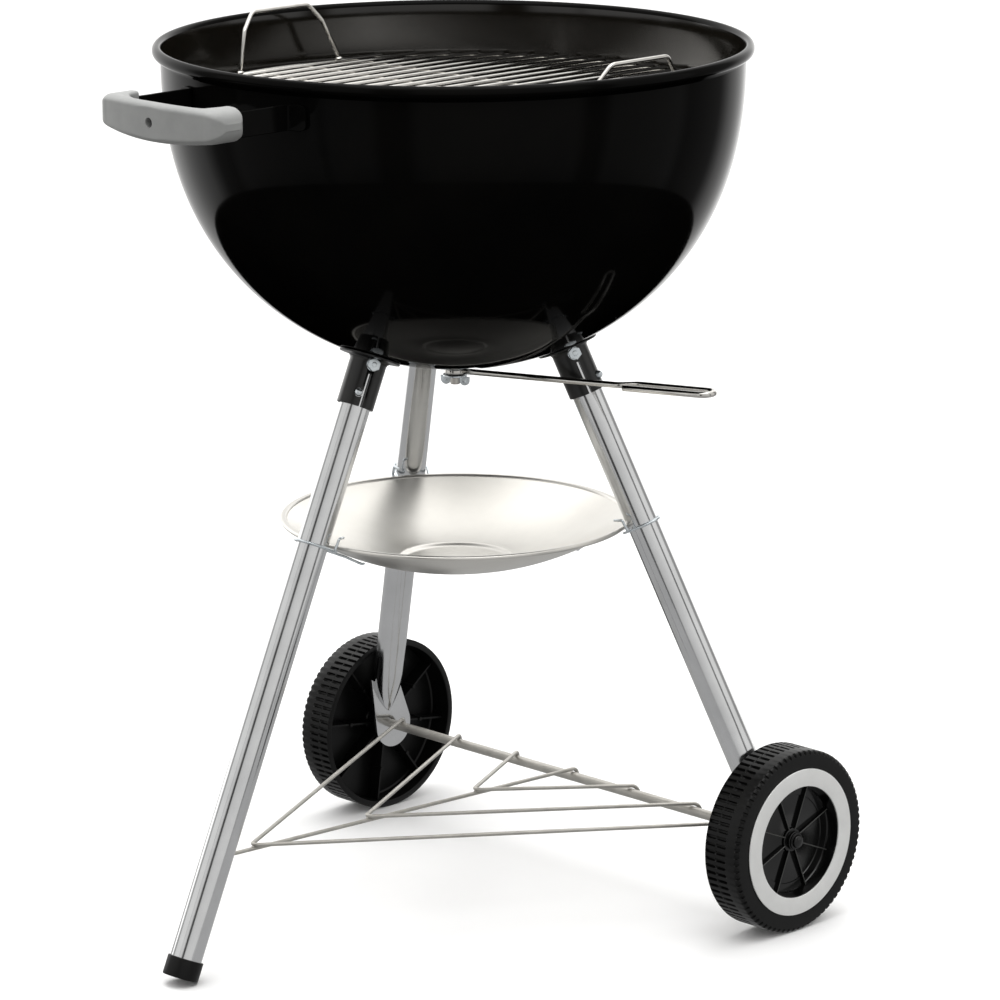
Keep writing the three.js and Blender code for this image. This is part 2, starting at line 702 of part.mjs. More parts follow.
function footCap(leg) {
  const end = along(leg, FOOT_END_Z);
  const outer = solid(placed(leg, rod(FOOT_CAP_RADIUS, end, end + FOOT_CAP_LENGTH, 20)));
  const socketRoom = rod(LEG_RADIUS + GAP, end + FOOT_CAP_FLOOR, end + FOOT_CAP_LENGTH + 1);
  const ground = solid(block(200, 400, -50, 50, 0, 100));
  return outer.subtract(solid(placed(leg, socketRoom))).intersect(ground);
}

// A wheel leg: its tube is pressed flat against the plate that carries the axle.
function wheelLeg(leg) {
  const side = Math.sign(leg.azimuth);
  const top = along(leg, LEG_TOP_Z);
  const bottom = along(leg, TUBE_END_Z - 30);
  const within = (limit, low) => solid(block(-400, 400, 0, side * limit, low, 600));
  const outer = solid(placed(leg, rod(LEG_RADIUS, bottom, top))).intersect(within(PLATE_OUTER_Y, TUBE_END_Z));
  const bore = solid(placed(leg, rod(LEG_RADIUS - LEG_WALL, bottom, top + 1)))
    .intersect(within(PLATE_OUTER_Y - LEG_WALL - 0.4, TUBE_CLOSED_Z));
  return legHoles(leg, outer.add(axlePlate(leg, side)).subtract(bore)).subtract(axleHole());
}

// The plate: a round end about the axle, narrowing to the tube's width above it.
function axlePlate(leg, side) {
  const lean = Math.atan(leg.slope * 0.5);
  const outline = [
    ...arc(0, 0, PLATE_RADIUS, -190, 10, 10),
    ...arc(0, PLATE_HEIGHT, PLATE_TOP_RADIUS, 20, 160, 5),
  ];
  const geometry = plate(outline, 0, PLATE_THICKNESS).rotateZ(-lean).rotateX(Math.PI / 2);
  geometry.translate(AXLE_X, PLATE_THICKNESS, WHEEL_RADIUS);
  geometry.translate(0, side > 0 ? PLATE_OUTER_Y - PLATE_THICKNESS : -PLATE_OUTER_Y, 0);
  return solid(geometry);
}

function axleRod(radius, halfLength, sides = LEG_SIDES) {
  return rod(radius, -halfLength, halfLength, sides).rotateX(Math.PI / 2)
    .translate(AXLE_X, 0, WHEEL_RADIUS);
}

function axleHole() {
  return solid(axleRod(AXLE_RADIUS + 0.4, AXLE_HALF_LENGTH));
}

for (const leg of LEGS) {
  const suffix = leg.name.replace('_leg', '');
  add(leg.name, leg.name === 'foot_leg' ? footLeg(leg) : wheelLeg(leg), ...CHROME);
  add(`leg_socket_${suffix}`, socket(leg), ...ENAMEL);
  add(`socket_bolt_${suffix}`, bolt(leg), ...ZINC);
  add(`leg_button_${suffix}`, button(leg), ...ZINC);
}
add('foot_cap', footCap(LEGS[0]), ...BLACK_PLASTIC);

// ---------------------------------------------------------------- axle and wheels

add('axle', axleRod(AXLE_RADIUS, AXLE_HALF_LENGTH), ...RACK_STEEL);

// The wheel's section, as [radius, distance from the middle of the axle].
function wheelProfile() {
  const edge = 3;
  return [
    [WHEEL_BORE_RADIUS, WHEEL_INNER_Y + GAP],
    [HUB_RADIUS, WHEEL_INNER_Y + GAP],
    [HUB_RADIUS, WEB_BACK_Y],
    [RIM_WALL_INNER, WEB_BACK_Y],
    [RIM_WALL_INNER, WHEEL_INNER_Y],
    [WHEEL_RADIUS - edge, WHEEL_INNER_Y],
    [WHEEL_RADIUS, WHEEL_INNER_Y + edge],
    [WHEEL_RADIUS, WHEEL_OUTER_Y - edge],
    [WHEEL_RADIUS - edge, WHEEL_OUTER_Y],
    [TRIM_INNER_RADIUS, WHEEL_OUTER_Y],
    [TRIM_INNER_RADIUS - 1.5, FACE_RECESS_Y],
    [HUB_RADIUS, FACE_RECESS_Y],
    [HUB_RADIUS, FACE_RECESS_Y + HUB_PROUD],
    [WHEEL_BORE_RADIUS, FACE_RECESS_Y + HUB_PROUD],
  ];
}

function wheelBody() {
  const ribs = Array.from({ length: WHEEL_RIBS }, (_, i) => {
    const rib = block(HUB_RADIUS - 1, RIM_WALL_INNER + 1, -1.2, 1.2, RIB_BACK_Y, WEB_BACK_Y + 1);
    return solid(rib.rotateZ((i * 2 * Math.PI) / WHEEL_RIBS));
  });
  return geometryOf(joined(solid(turnedRing(wheelProfile(), WHEEL_SEGMENTS)), ...ribs));
}

function trimRing() {
  const low = WHEEL_OUTER_Y + GAP;
  const profile = [
    [TRIM_INNER_RADIUS + 0.5, low],
    [TRIM_OUTER_RADIUS, low],
    [TRIM_OUTER_RADIUS, low + TRIM_HEIGHT],
    [TRIM_INNER_RADIUS + 0.5, low + TRIM_HEIGHT],
  ];
  return turnedRing(profile, WHEEL_SEGMENTS);
}

// A push-on cap over the axle's end.
function hubCap() {
  const low = FACE_RECESS_Y + HUB_PROUD + GAP;
  const room = AXLE_HALF_LENGTH + GAP;
  const profile = [
    [0, room],
    [WHEEL_BORE_RADIUS, room],
    [WHEEL_BORE_RADIUS, low],
    [HUB_CAP_RADIUS, low],
    [HUB_CAP_RADIUS, room],
    [HUB_CAP_RADIUS * 0.68, room + HUB_CAP_CROWN * 0.8],
    [0, room + HUB_CAP_CROWN],
  ];
  return turned(profile, 12);
}

// Turns a piece made along +Z onto one end of the axle.
function onAxle(geometry, side) {
  return geometry.rotateX(-side * Math.PI / 2).translate(AXLE_X, 0, WHEEL_RADIUS);
}

for (const [name, side] of [['left', -1], ['right', 1]]) {
  add(`wheel_${name}`, onAxle(wheelBody(), side), ...BLACK_PLASTIC);
  add(`wheel_trim_${name}`, onAxle(trimRing(), side), ...WHITE_PAINT);
  add(`hub_cap_${name}`, onAxle(hubCap(), side), ...BLACK_PLASTIC);
}

// ---------------------------------------------------------------- bottom rack

const HOOK_RADIUS = AXLE_RADIUS + RACK_WIRE + GAP + 0.3;
const WIRE_TOP_Z = WHEEL_RADIUS + HOOK_RADIUS;

// The hook of a rack wire over the axle at a place along it, for a wire that leaves it with a
// sideways slant. It ends behind the axle.
function hook(y, slant) {
  return [215, 180, 135, 90].map((a) => {
    const dx = HOOK_RADIUS * Math.cos(rad(a));
    return vec(AXLE_X + dx, y + dx * slant, WHEEL_RADIUS + HOOK_RADIUS * Math.sin(rad(a)));
  });
}

function spineHeight(x) {
  const share = (x - AXLE_X) / (RACK_SPINE_END_X - AXLE_X);
  return THREE.MathUtils.lerp(WIRE_TOP_Z, RACK_SPINE_END_Z, share);
}

const spineEnd = vec(RACK_SPINE_END_X, 0, RACK_SPINE_END_Z);
add('rack_spine', wire([...hook(0, 0), spineEnd], RACK_WIRE), ...RACK_STEEL);

for (const { name, apexX, hookY } of RACK_WIRES) {
  const slant = hookY / (AXLE_X - apexX);
  const apex = vec(apexX, 0, spineHeight(apexX) + 2 * RACK_WIRE + GAP);
  const start = hook(hookY, slant);
  const end = hook(-hookY, -slant).reverse();
  const corner = bent([start[start.length - 1], apex, end[0]], 4, 40).slice(1, -1);
  add(name, wire([...start, ...corner, ...end], RACK_WIRE), ...RACK_STEEL);
}

// ---------------------------------------------------------------- ash pan and clips

// The height of the pan's upper face over its floor, at a radius.
function panHeight(r) {
  const share = (r - PAN_STEP_RADIUS) / (PAN_WALL_RADIUS - PAN_STEP_RADIUS);
  const wallFoot = PAN_FLOOR_Z + PAN_STEP_HEIGHT;
  return wallFoot + (PAN_RIM_Z - 2 - wallFoot) * Math.max(share, 0) ** 1.6;
}

function panShell() {
  const steps = 4;
  const wall = Array.from({ length: steps + 1 }, (_, i) => {
    const r = PAN_STEP_RADIUS + ((PAN_WALL_RADIUS - PAN_STEP_RADIUS) * i) / steps;
    return [r, panHeight(r)];
  });
  const beadX = PAN_RADIUS - PAN_BEAD;
  const top = [
    [0, PAN_FLOOR_Z],
    [PAN_STEP_RADIUS - 4, PAN_FLOOR_Z],
    ...wall,
    [PAN_WALL_RADIUS + 0.8, PAN_RIM_Z],
    [beadX, PAN_RIM_Z],
  ];
  const bead = [[PAN_RADIUS, PAN_RIM_Z - PAN_BEAD], [beadX, PAN_RIM_Z - 2 * PAN_BEAD]];
  const under = [
    [beadX - 1, PAN_RIM_Z - PAN_SHEET - 0.6],
    [PAN_WALL_RADIUS + 2, PAN_RIM_Z - PAN_SHEET - 0.6],
    ...wall.map(([r, z]) => [r + 0.5, z - PAN_SHEET]).reverse(),
    [PAN_STEP_RADIUS - 4, PAN_FLOOR_Z - PAN_SHEET],
    [0, PAN_FLOOR_Z - PAN_SHEET],
  ];
  return turned([...top, ...bead, ...under], PAN_SEGMENTS);
}

add('ash_pan', panShell(), ...ALUMINIUM);

// The distance along a leg at which the clip's wires pass just under the pan's rim.
function clipPlane(leg) {
  const tilt = Math.atan(leg.slope);
  const wireZ = PAN_RIM_Z - 2 * PAN_BEAD - CLIP_WIRE / Math.cos(tilt) - 0.4;
  const reach = PAN_RADIUS - PAN_BEAD - LEG_REF_RADIUS;
  return (wireZ - LEG_REF_Z - reach * Math.tan(tilt)) * Math.cos(tilt);
}

// One wire: a long arm under the pan, a turn round the outer side of the leg, and a short arm
// that folds back and ends over the rim.
function clip(leg) {
  const z = clipPlane(leg);
  const r = LEG_RADIUS + CLIP_WIRE + GAP + 0.2;
  const turnPoints = arc(0, 0, r, -90, 90, 6).map(([x, y]) => vec(x, y, z));
  const long = bent([
    vec(-CLIP_LONG_REACH + 4, 3, z - 1),
    vec(-CLIP_LONG_REACH, -3, z - 1.5),
    vec(-CLIP_LONG_REACH + 14, -9, z),
    turnPoints[0],
  ], 2.5, 50).slice(0, -1);
  const short = bent([
    turnPoints[turnPoints.length - 1],
    vec(-CLIP_SHORT_REACH, 12, z - 0.5),
    vec(-8.5, 17.6, z + 0.5),
    vec(-9.5, 17.6, z + 10.5),
    vec(-17, 14, z + 12.5),
  ], 1.6, 50).slice(1);
  const points = [...long, ...turnPoints, ...short].map((p) => vec(p.x, p.y * leg.mirror, p.z));
  return placed(leg, wire(points, CLIP_WIRE));
}

LEGS.forEach((leg) => add(`pan_clip_${leg.name.replace('_leg', '')}`, clip(leg), ...ZINC));

// ---------------------------------------------------------------- ash sweep

const bowlBottom = RIM_Z - BOWL_DEPTH;
const floorZ = bowlBottom + BOWL_WALL;

function sweepHub() {
  const profile = [
    [0, LEVER_Z - 11],
    [SHAFT_RADIUS, LEVER_Z - 11],
    [SHAFT_RADIUS, floorZ + BLADE_CLEARANCE],
    [HUB_DISC_RADIUS, floorZ + BLADE_CLEARANCE + 0.4],
    [HUB_DISC_RADIUS, floorZ + 4],
    [0, floorZ + 4],
  ];
  return turned(profile, 12);
}

// A blade that follows the bowl's floor outwards from the hub.
function sweepBlade() {
  const start = bowlShare(HUB_DISC_RADIUS + GAP + 0.1);
  const end = bowlShare(BLADE_END_RADIUS);
  const under = wallLine(start, end, 5, -BOWL_WALL - BLADE_CLEARANCE);
  const top = wallLine(start, end, 5, -BOWL_WALL - BLADE_CLEARANCE - BLADE_SHEET).reverse();
  return plate([...under, ...top], -BLADE_HALF_WIDTH, BLADE_HALF_WIDTH).rotateX(Math.PI / 2);
}

// The lever: an eye on the shaft, a rod, and a long closed loop to pull.
function sweepLever() {
  const eye = solid(turnedRing([
    [SHAFT_RADIUS + 0.5, LEVER_Z - LEVER_WIRE],
    [LEVER_EYE, LEVER_Z - LEVER_WIRE],
    [LEVER_EYE, LEVER_Z + LEVER_WIRE],
    [SHAFT_RADIUS + 0.5, LEVER_Z + LEVER_WIRE],
  ], 12));
  const rise = (x) => LEVER_Z + ((LEVER_END_Z - LEVER_Z) * x) / LEVER_END;
  const at = (x, y) => vec(x, y, rise(x));
  const jog = LEVER_LOOP_START + 14;
  const tip = LEVER_END - LEVER_LOOP_HALF;
  const start = [at(LEVER_EYE - 1.5, 0), at(LEVER_LOOP_START, 0)];
  const corners = bent([...start, at(jog, LEVER_LOOP_HALF), at(tip, LEVER_LOOP_HALF)], 12);
  const bend = arc(tip, 0, LEVER_LOOP_HALF, 60, -90, 5).map(([x, y]) => at(x, y));
  const points = [...corners, ...bend, at(jog - 6, -LEVER_LOOP_HALF)];
  return geometryOf(eye.add(solid(wire(points, LEVER_WIRE, 8)))).rotateZ(rad(LEVER_AZIMUTH));
}

// A stamped wing nut under the lever's eye: a round plate with two ears that hang from it.
function wingNut() {
  const top = LEVER_Z - LEVER_WIRE - GAP;
  const sheet = WING_NUT_SHEET;
  const ear = (side) => {
    const disc = rod(WING_NUT_EAR, -sheet / 2, sheet / 2, 12).rotateX(Math.PI / 2);
    return solid(disc.translate(side * 7.2, 0, top - 4.5));
  };
  const plateRing = turnedRing([
    [SHAFT_RADIUS + 0.4, top - sheet],
    [WING_NUT_RADIUS, top - sheet],
    [WING_NUT_RADIUS, top],
    [SHAFT_RADIUS + 0.4, top],
  ], 12);
  const below = solid(block(-20, 20, -20, 20, top - 20, top));
  const bore = solid(rod(SHAFT_RADIUS + 0.4, top - 20, top + 5, 12));
  const nut = joined(solid(plateRing), ear(1), ear(-1)).intersect(below).subtract(bore);
  return geometryOf(nut).rotateZ(rad(LEVER_AZIMUTH + 6));
}

function sweepWasher() {
  const low = LEVER_Z + LEVER_WIRE + 0.4 + GAP;
  return turnedRing([
    [SHAFT_RADIUS + 0.5, low],
    [WASHER_RADIUS, low],
    [WASHER_RADIUS, low + WASHER_SHEET],
    [SHAFT_RADIUS + 0.5, low + WASHER_SHEET],
  ], 16);
}

add('sweep_hub', sweepHub(), ...ALUMINIUM);
BLADE_AZIMUTHS.forEach((a, i) => add(`sweep_blade_${i + 1}`, sweepBlade().rotateZ(rad(a)), ...ALUMINIUM));
add('sweep_washer', sweepWasher(), ...ZINC);
add('sweep_lever', sweepLever(), ...CHROME);
add('sweep_wing_nut', wingNut(), ...ZINC);

export default grill;
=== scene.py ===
import json
import math

import bmesh
import bpy
import numpy as np
from mathutils import Matrix, Vector

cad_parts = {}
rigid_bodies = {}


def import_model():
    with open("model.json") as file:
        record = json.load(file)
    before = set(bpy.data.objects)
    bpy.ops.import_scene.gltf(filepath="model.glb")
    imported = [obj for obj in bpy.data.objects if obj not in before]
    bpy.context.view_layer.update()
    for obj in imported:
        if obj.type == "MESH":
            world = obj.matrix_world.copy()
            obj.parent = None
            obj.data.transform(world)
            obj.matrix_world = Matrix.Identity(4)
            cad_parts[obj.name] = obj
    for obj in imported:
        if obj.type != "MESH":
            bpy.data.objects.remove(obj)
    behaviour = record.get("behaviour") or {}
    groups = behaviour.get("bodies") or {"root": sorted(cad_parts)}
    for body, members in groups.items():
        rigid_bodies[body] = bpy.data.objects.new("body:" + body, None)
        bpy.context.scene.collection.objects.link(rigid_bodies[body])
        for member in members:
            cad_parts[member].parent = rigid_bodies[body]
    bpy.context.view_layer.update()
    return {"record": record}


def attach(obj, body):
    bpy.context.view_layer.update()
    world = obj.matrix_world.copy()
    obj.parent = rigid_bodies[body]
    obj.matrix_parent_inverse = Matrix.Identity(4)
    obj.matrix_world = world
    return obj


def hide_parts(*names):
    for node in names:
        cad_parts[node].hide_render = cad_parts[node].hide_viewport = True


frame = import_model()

MM = 0.001
BODY_OF = {node: body for body, nodes in frame["record"]["behaviour"]["bodies"].items() for node in nodes}

# ---------------------------------------------------------------- sizes, in millimetres

GAP = 0.3
RIM_Z, RIM_CENTRE, RIM_HALF_WIDTH, RIM_HALF_HEIGHT = 712, 236, 4, 4.8
BOWL_RADIUS, BOWL_DEPTH, BOWL_WALL = 233.5, 258.35, 1.6
DEPTH_POWER, RADIUS_POWER = 2.382, 1.947
BOWL_HOLE, WALL_TOP = 5.2, 0.99
VENT_AZIMUTHS, VENT_INNER, VENT_OUTER, VENT_HALF_WIDTH = (60, 180, 300), 30, 64, 10

COOKING = dict(z=673.6, ring=219.4, ring_wire=2.8, bar=2.2, pitch=16.9, bars=24, cross=(-81, -27, 27, 81))
CHARCOAL = dict(z=552, ring=168, ring_wire=2.8, bar=2.6, pitch=24, bars=14, cross=(-45, 45))
CROSS_WIRE = 2.5
TAB_AZIMUTHS, TAB_REACH, TAB_SHEET, TAB_HEIGHT, TAB_HALF_WIDTH = (-75, 45, 165), 17, 2, 16, 9
LOOP_WIRE, LOOP_THIN, LOOP_LEAN, LOOP_BEND = 2.3, 1.8, 14, 8
LOOP_HALF = ((55, 0), (43, 31), (31, 45.1))

HANDLE_Z, HANDLE_REACH = 688, 320
GRIP_HALF_HEIGHT, GRIP_HALF_LENGTH, GRIP_BOW = 15.5, 69, 6
GRIP_BAR_DEPTH, GRIP_END_DEPTH, GRIP_END_WIDTH = 20, 36, 19
GRIP_FRONT_CORNER, GRIP_END_CORNER, GRIP_FILLET, GRIP_BEVEL = 13, 4, 9, 2.4
GRIP_CORNER, GRIP_ROLL, GRIP_DISH, GRIP_CROWN, GRIP_BELLY = 11, 2.6, 3, 1.6, 5.5
GRIP_VOXEL, GRIP_FRONT_GAP, SCREW_WELL, SCREW_HOLE = 0.9, 0.3, 3.9, 2.9
STRAP_X, STRAP_ARM_Y, STRAP_SHEET, STRAP_HALF_HEIGHT = 304, 56, 2.6, 10

LEG_REF_Z, LEG_REF_RADIUS, LEG_RADIUS, LEG_WALL, LEG_TOP_Z = 500, 82.25, 12.7, 1.2, 471.5
SOCKET_RADIUS, SOCKET_BOTTOM_Z, SOCKET_BORE = 15, 435.8, 13.2
FLANGE_RADIUS, FLANGE_SHEET = 25, 1.5
SEAM_WIDTH, BOLT_Z, BOLT_HEAD, BOLT_HEIGHT = 2.4, 467.6, 5.6, 4
BUTTON_Z, BUTTON_RADIUS, BUTTON_PROUD = 445.5, 3.1, 3.8
FOOT_END_Z, CAP_RADIUS, CAP_LENGTH, CAP_FLOOR = 4.7, 14.5, 16, 3
LEGS = (
    dict(node="foot_leg", end="foot", azimuth=0, slope=0.45, bolt=62, button=45, mirror=1),
    dict(node="wheel_leg_right", end="wheel_right", azimuth=120, slope=0.44, bolt=-62, button=-6,
         mirror=-1),
    dict(node="wheel_leg_left", end="wheel_left", azimuth=-120, slope=0.44, bolt=62, button=6, mirror=1),
)

WHEEL_RADIUS, AXLE_X, AXLE_RADIUS, AXLE_HALF = 75.6, -135.35, 4, 257
WHEEL_INNER, WHEEL_OUTER, WEB_BACK, FACE_RECESS = 224, 258.8, 244, 248.5
TRIM_INNER, TRIM_OUTER, TRIM_HEIGHT, WHEEL_RIBS, WHEEL_BORE = 46.4, 60.85, 1.1, 8, 4.6
TREAD_RIBS, TREAD_STEPS, TREAD_DEPTH, EDGE_DEPTH = 78, 8, 2.4, 2.2
TREAD_ROWS = ((WHEEL_INNER + 1.2, WHEEL_INNER + 10.6), (WHEEL_INNER + 12.6, WHEEL_INNER + 21.6))
TREAD_SHARE, SHOULDER, RIB_TURN, BACK_RIB_TURN, HUB_CLEAR = 0.4, 3.6, -23, 8, 11
PLATE_OUTER, PLATE_THICKNESS, PLATE_RADIUS = 223, 3, 20
RACK_WIRE, RACK_END_X, RACK_END_Z = 1.6, 256, 94.5
RACK_WIRES = (("rack_wire_large", 229, 210), ("rack_wire_medium", 104.5, 139), ("rack_wire_small", -18, 68))
HOOK_RADIUS = AXLE_RADIUS + RACK_WIRE + GAP + 0.3

PAN_RIM_Z, PAN_RADIUS, PAN_FLOOR_Z, PAN_SHEET, PAN_BEAD = 328.6, 143.2, 290, 1.2, 1.9
PAN_STEP, PAN_STEP_HEIGHT, PAN_WALL = 46, 2.5, 137.5
# Each clip's arms: points in its leg's frame, the last number being the height over its wire.
CLIP_WIRE = 1.1
CLIP_LONG_ARM = ((-58, 3, -1), (-62, -3, -1.5), (-48, -9, 0))
CLIP_SHORT_ARM = ((-21, 12, -0.5), (-8.5, 17.6, 0.5), (-9.5, 17.6, 10.5), (-17, 14, 12.5))

LEVER_AZIMUTH, LEVER_WIRE, LEVER_Z, LEVER_END_Z = 106, 2.5, 447.9, 453.5
LOOP_START, LEVER_END, LEVER_HALF = 150, 234, 8.5
SHAFT_RADIUS, HUB_DISC, BLADE_END, BLADE_HALF, BLADE_SHEET, CLEARANCE = 4, 14, 78, 12, 1.2, 1.2
BLADE_AZIMUTHS, EYE_RADIUS, WASHER_RADIUS = (0, 120, 240), 9, 12
NUT_RADIUS, NUT_SHEET, NUT_TURN = 10, 1.6, 6
FLOOR_Z = RIM_Z - BOWL_DEPTH + BOWL_WALL

# ---------------------------------------------------------------- shapes


class Shape:
    """Points in millimetres and the faces between them. at() places it by these matrices."""

    def __init__(self, verts, faces):
        self.verts = np.asarray(verts, float).reshape(-1, 3)
        self.faces = [tuple(f) for f in faces]

    def __add__(self, other):
        shift = len(self.verts)
        faces = self.faces + [tuple(i + shift for i in f) for f in other.faces]
        return Shape(np.vstack([self.verts, other.verts]), faces)

    def at(self, *matrices):
        m = Matrix.Identity(4)
        for one in matrices:
            m = m @ one
        m = np.array(m)
        return Shape(self.verts @ m[:3, :3].T + m[:3, 3], self.faces)


def joined(shapes):
    total = shapes[0]
    for shape in shapes[1:]:
        total = total + shape
    return total


def move(x, y, z):
    return Matrix.Translation((x, y, z))


def turn(degrees, axis="Z"):
    return Matrix.Rotation(math.radians(degrees), 4, axis)


def arc(cx, cy, radius, start, end, steps):
    angles = np.radians(np.linspace(start, end, steps + 1))
    return [(cx + radius * math.cos(a), cy + radius * math.sin(a)) for a in angles]


def bridge(rows):
    """Quads between rings of vertex numbers; a ring of one number is a pole."""
    faces = []
    for low, high in zip(rows, rows[1:]):
        count = max(len(low), len(high))
        for i in range(count):
            j = (i + 1) % count
            if len(low) == 1:
                faces.append((low[0], high[j], high[i]))
            elif len(high) == 1:
                faces.append((low[i], low[j], high[0]))
            else:
                faces.append((low[i], low[j], high[j], high[i]))
    return faces


def stacked(rings, ends=None):
    """A skin from ring to ring of points. Its ends are "capped" with a face each, "joined" to each
    other, or left as they are."""
    verts, rows = [], []
    for points in rings:
        rows.append(list(range(len(verts), len(verts) + len(points))))
        verts += points
    faces = bridge(rows + [rows[0]] if ends == "joined" else rows)
    if ends == "capped":
        faces += [tuple(reversed(rows[0])), tuple(rows[-1])]
    return Shape(verts, faces)


def lathe(profile, segments=96, closed=False, radial=None):
    """A body of revolution about Z from (radius, z) points. radial changes a ring's radii."""
    rings = []
    angles = np.linspace(0, 2 * math.pi, segments, endpoint=False)
    for r, z in profile:
        radii = np.full(segments, float(r)) if radial is None else radial(r, z, angles)
        turned = [(q * math.cos(a), q * math.sin(a), z) for q, a in zip(radii, angles)]
        rings.append(turned if r > 1e-6 else [(0, 0, z)])
    return stacked(rings, "joined" if closed else None)


def rounded(corners, radius, steps=4):
    """A closed or open (radius, z) line with its inner corners rounded; radius may be one for each."""
    radii = radius if isinstance(radius, (list, tuple)) else [radius] * len(corners)
    points = [corners[0]]
    for k in range(1, len(corners) - 1):
        a, b, c = (Vector((*corners[i], 0)) for i in (k - 1, k, k + 1))
        into, out = (b - a), (c - b)
        reach = min(radii[k], into.length * 0.49, out.length * 0.49)
        if reach < 1e-4:
            points.append(corners[k])
            continue
        start, end = b - into.normalized() * reach, b + out.normalized() * reach
        for i in range(steps + 1):
            t = i / steps
            p = start * (1 - t) ** 2 + b * 2 * t * (1 - t) + end * t ** 2
            points.append((p.x, p.y))
    return points + [corners[-1]]


def ring(centre, wire, z, segments=192, sides=14):
    return lathe(arc(centre, z, wire, 0, 360, sides)[:-1], segments, closed=True)


def tangents_of(points):
    last = len(points) - 1
    return [(points[min(i + 1, last)] - points[max(i - 1, 0)]).normalized() for i in range(last + 1)]


def sweep(points, section, scales, up=None):
    """Carries a flat section of (side, up) points along a path. scales is a pair for each point."""
    points = [Vector(p) for p in points]
    tangents = tangents_of(points)
    normal = Vector(up) if up else tangents[0].orthogonal().normalized()
    rings = []
    for i, (p, t) in enumerate(zip(points, tangents)):
        if up is None and i:
            normal = tangents[i - 1].rotation_difference(t) @ normal
        upright = (normal - t * t.dot(normal)).normalized()
        side = upright.cross(t)
        wide, high = scales[i]
        rings.append([p + side * (a * wide) + upright * (b * high) for a, b in section])
    return stacked(rings, "capped")


def strip_section(side, up, cut_side, cut_up):
    """A flat strip's section: a rectangle of these half sizes with its corners cut."""
    return [(-side, cut_up - up), (cut_side - side, -up), (side - cut_side, -up), (side, cut_up - up),
            (side, up - cut_up), (side - cut_side, up), (cut_side - side, up), (-side, up - cut_up)]


def flat_sweep(points, section, scales):
    """A sheet strip whose width runs along Y while its path bends in the XZ plane."""
    rings = []
    side = Vector((0, 1, 0))
    for p, t, (wide, thick) in zip(points, tangents_of(points), scales):
        across = side.cross(t)
        rings.append([p + side * (a * wide) + across * (b * thick) for a, b in section])
    return stacked(rings, "capped")


def wire(points, radius, sides=14):
    """A round wire with softly rounded ends."""
    points = [Vector(p) for p in points]
    head = (points[1] - points[0]).normalized()
    tail = (points[-1] - points[-2]).normalized()
    steps = ((0, 0.6), (0.1, 0.84), (0.3, 1.0))
    path = [points[0] + head * (radius * d) for d, _ in steps] + points[1:-1]
    path += [points[-1] - tail * (radius * d) for d, _ in reversed(steps)]
    sizes = [s for _, s in steps] + [1.0] * (len(points) - 2) + [s for _, s in reversed(steps)]
    return sweep(path, arc(0, 0, radius, 0, 360, sides)[:-1], [(s, s) for s in sizes])


def bent(corners, radius, step=9):
    """The points of a bent wire: each inner corner becomes an arc of the bend radius."""
    corners = [Vector(c) for c in corners]
    points = [corners[0]]
    for a, b, c in zip(corners, corners[1:], corners[2:]):
        into, out = (b - a).normalized(), (c - b).normalized()
        angle = into.angle(out)
        steps = max(2, math.ceil(math.degrees(angle) / step))
        centre = b + (out - into).normalized() * (radius / math.cos(angle / 2))
        spoke = b - into * (radius * math.tan(angle / 2)) - centre
        for k in range(steps + 1):
            t = angle * k / steps
            points.append(centre + spoke * math.cos(t) + into * (radius * math.sin(t)))
    return points + [corners[-1]]


def inset(outline, distance):
    """An outline moved inwards along its corner normals; it runs anticlockwise."""
    pts = np.array(outline, float)
    ahead, behind = np.roll(pts, -1, 0) - pts, pts - np.roll(pts, 1, 0)
    ahead /= np.linalg.norm(ahead, axis=1, keepdims=True)
    behind /= np.linalg.norm(behind, axis=1, keepdims=True)
    n1, n2 = np.stack([-ahead[:, 1], ahead[:, 0]], 1), np.stack([-behind[:, 1], behind[:, 0]], 1)
    middle = n1 + n2
    middle /= np.maximum(np.linalg.norm(middle, axis=1, keepdims=True), 1e-9)
    stretch = np.maximum((middle * n1).sum(1, keepdims=True), 0.5)
    return pts + middle * distance / stretch


def slab(outline, z0, z1, bevel=0.4, steps=2):
    """A flat outline, anticlockwise, extruded along Z with rounded edges."""
    levels = []
    for i in range(steps + 1):
        a = math.pi / 2 * i / steps
        levels.append((bevel * (1 - math.sin(a)), z0 + bevel * (1 - math.cos(a))))
    levels += [(d, z1 - (z - z0)) for d, z in reversed(levels)]
    return stacked([[(x, y, z) for x, y in inset(outline, d)] for d, z in levels], "capped")


def ball(x, y, z, rx, ry, rz, segments=12):
    profile = [(math.sin(a), -math.cos(a)) for a in np.linspace(0, math.pi, segments // 2 + 1)]
    profile[0], profile[-1] = (0, -1), (0, 1)
    return lathe(profile, segments).at(move(x, y, z), Matrix.Diagonal((rx, ry, rz, 1)))


def rod(radius, z0, z1, segments=32):
    return lathe([(0, z0), (radius, z0), (radius, z1), (0, z1)], segments)


# ---------------------------------------------------------------- materials


def node(tree, kind, **values):
    """A new shader node with these inputs set; an underscore stands for a space."""
    made = tree.nodes.new(kind)
    for key, value in values.items():
        made.inputs[key.replace("_", " ")].default_value = value
    return made


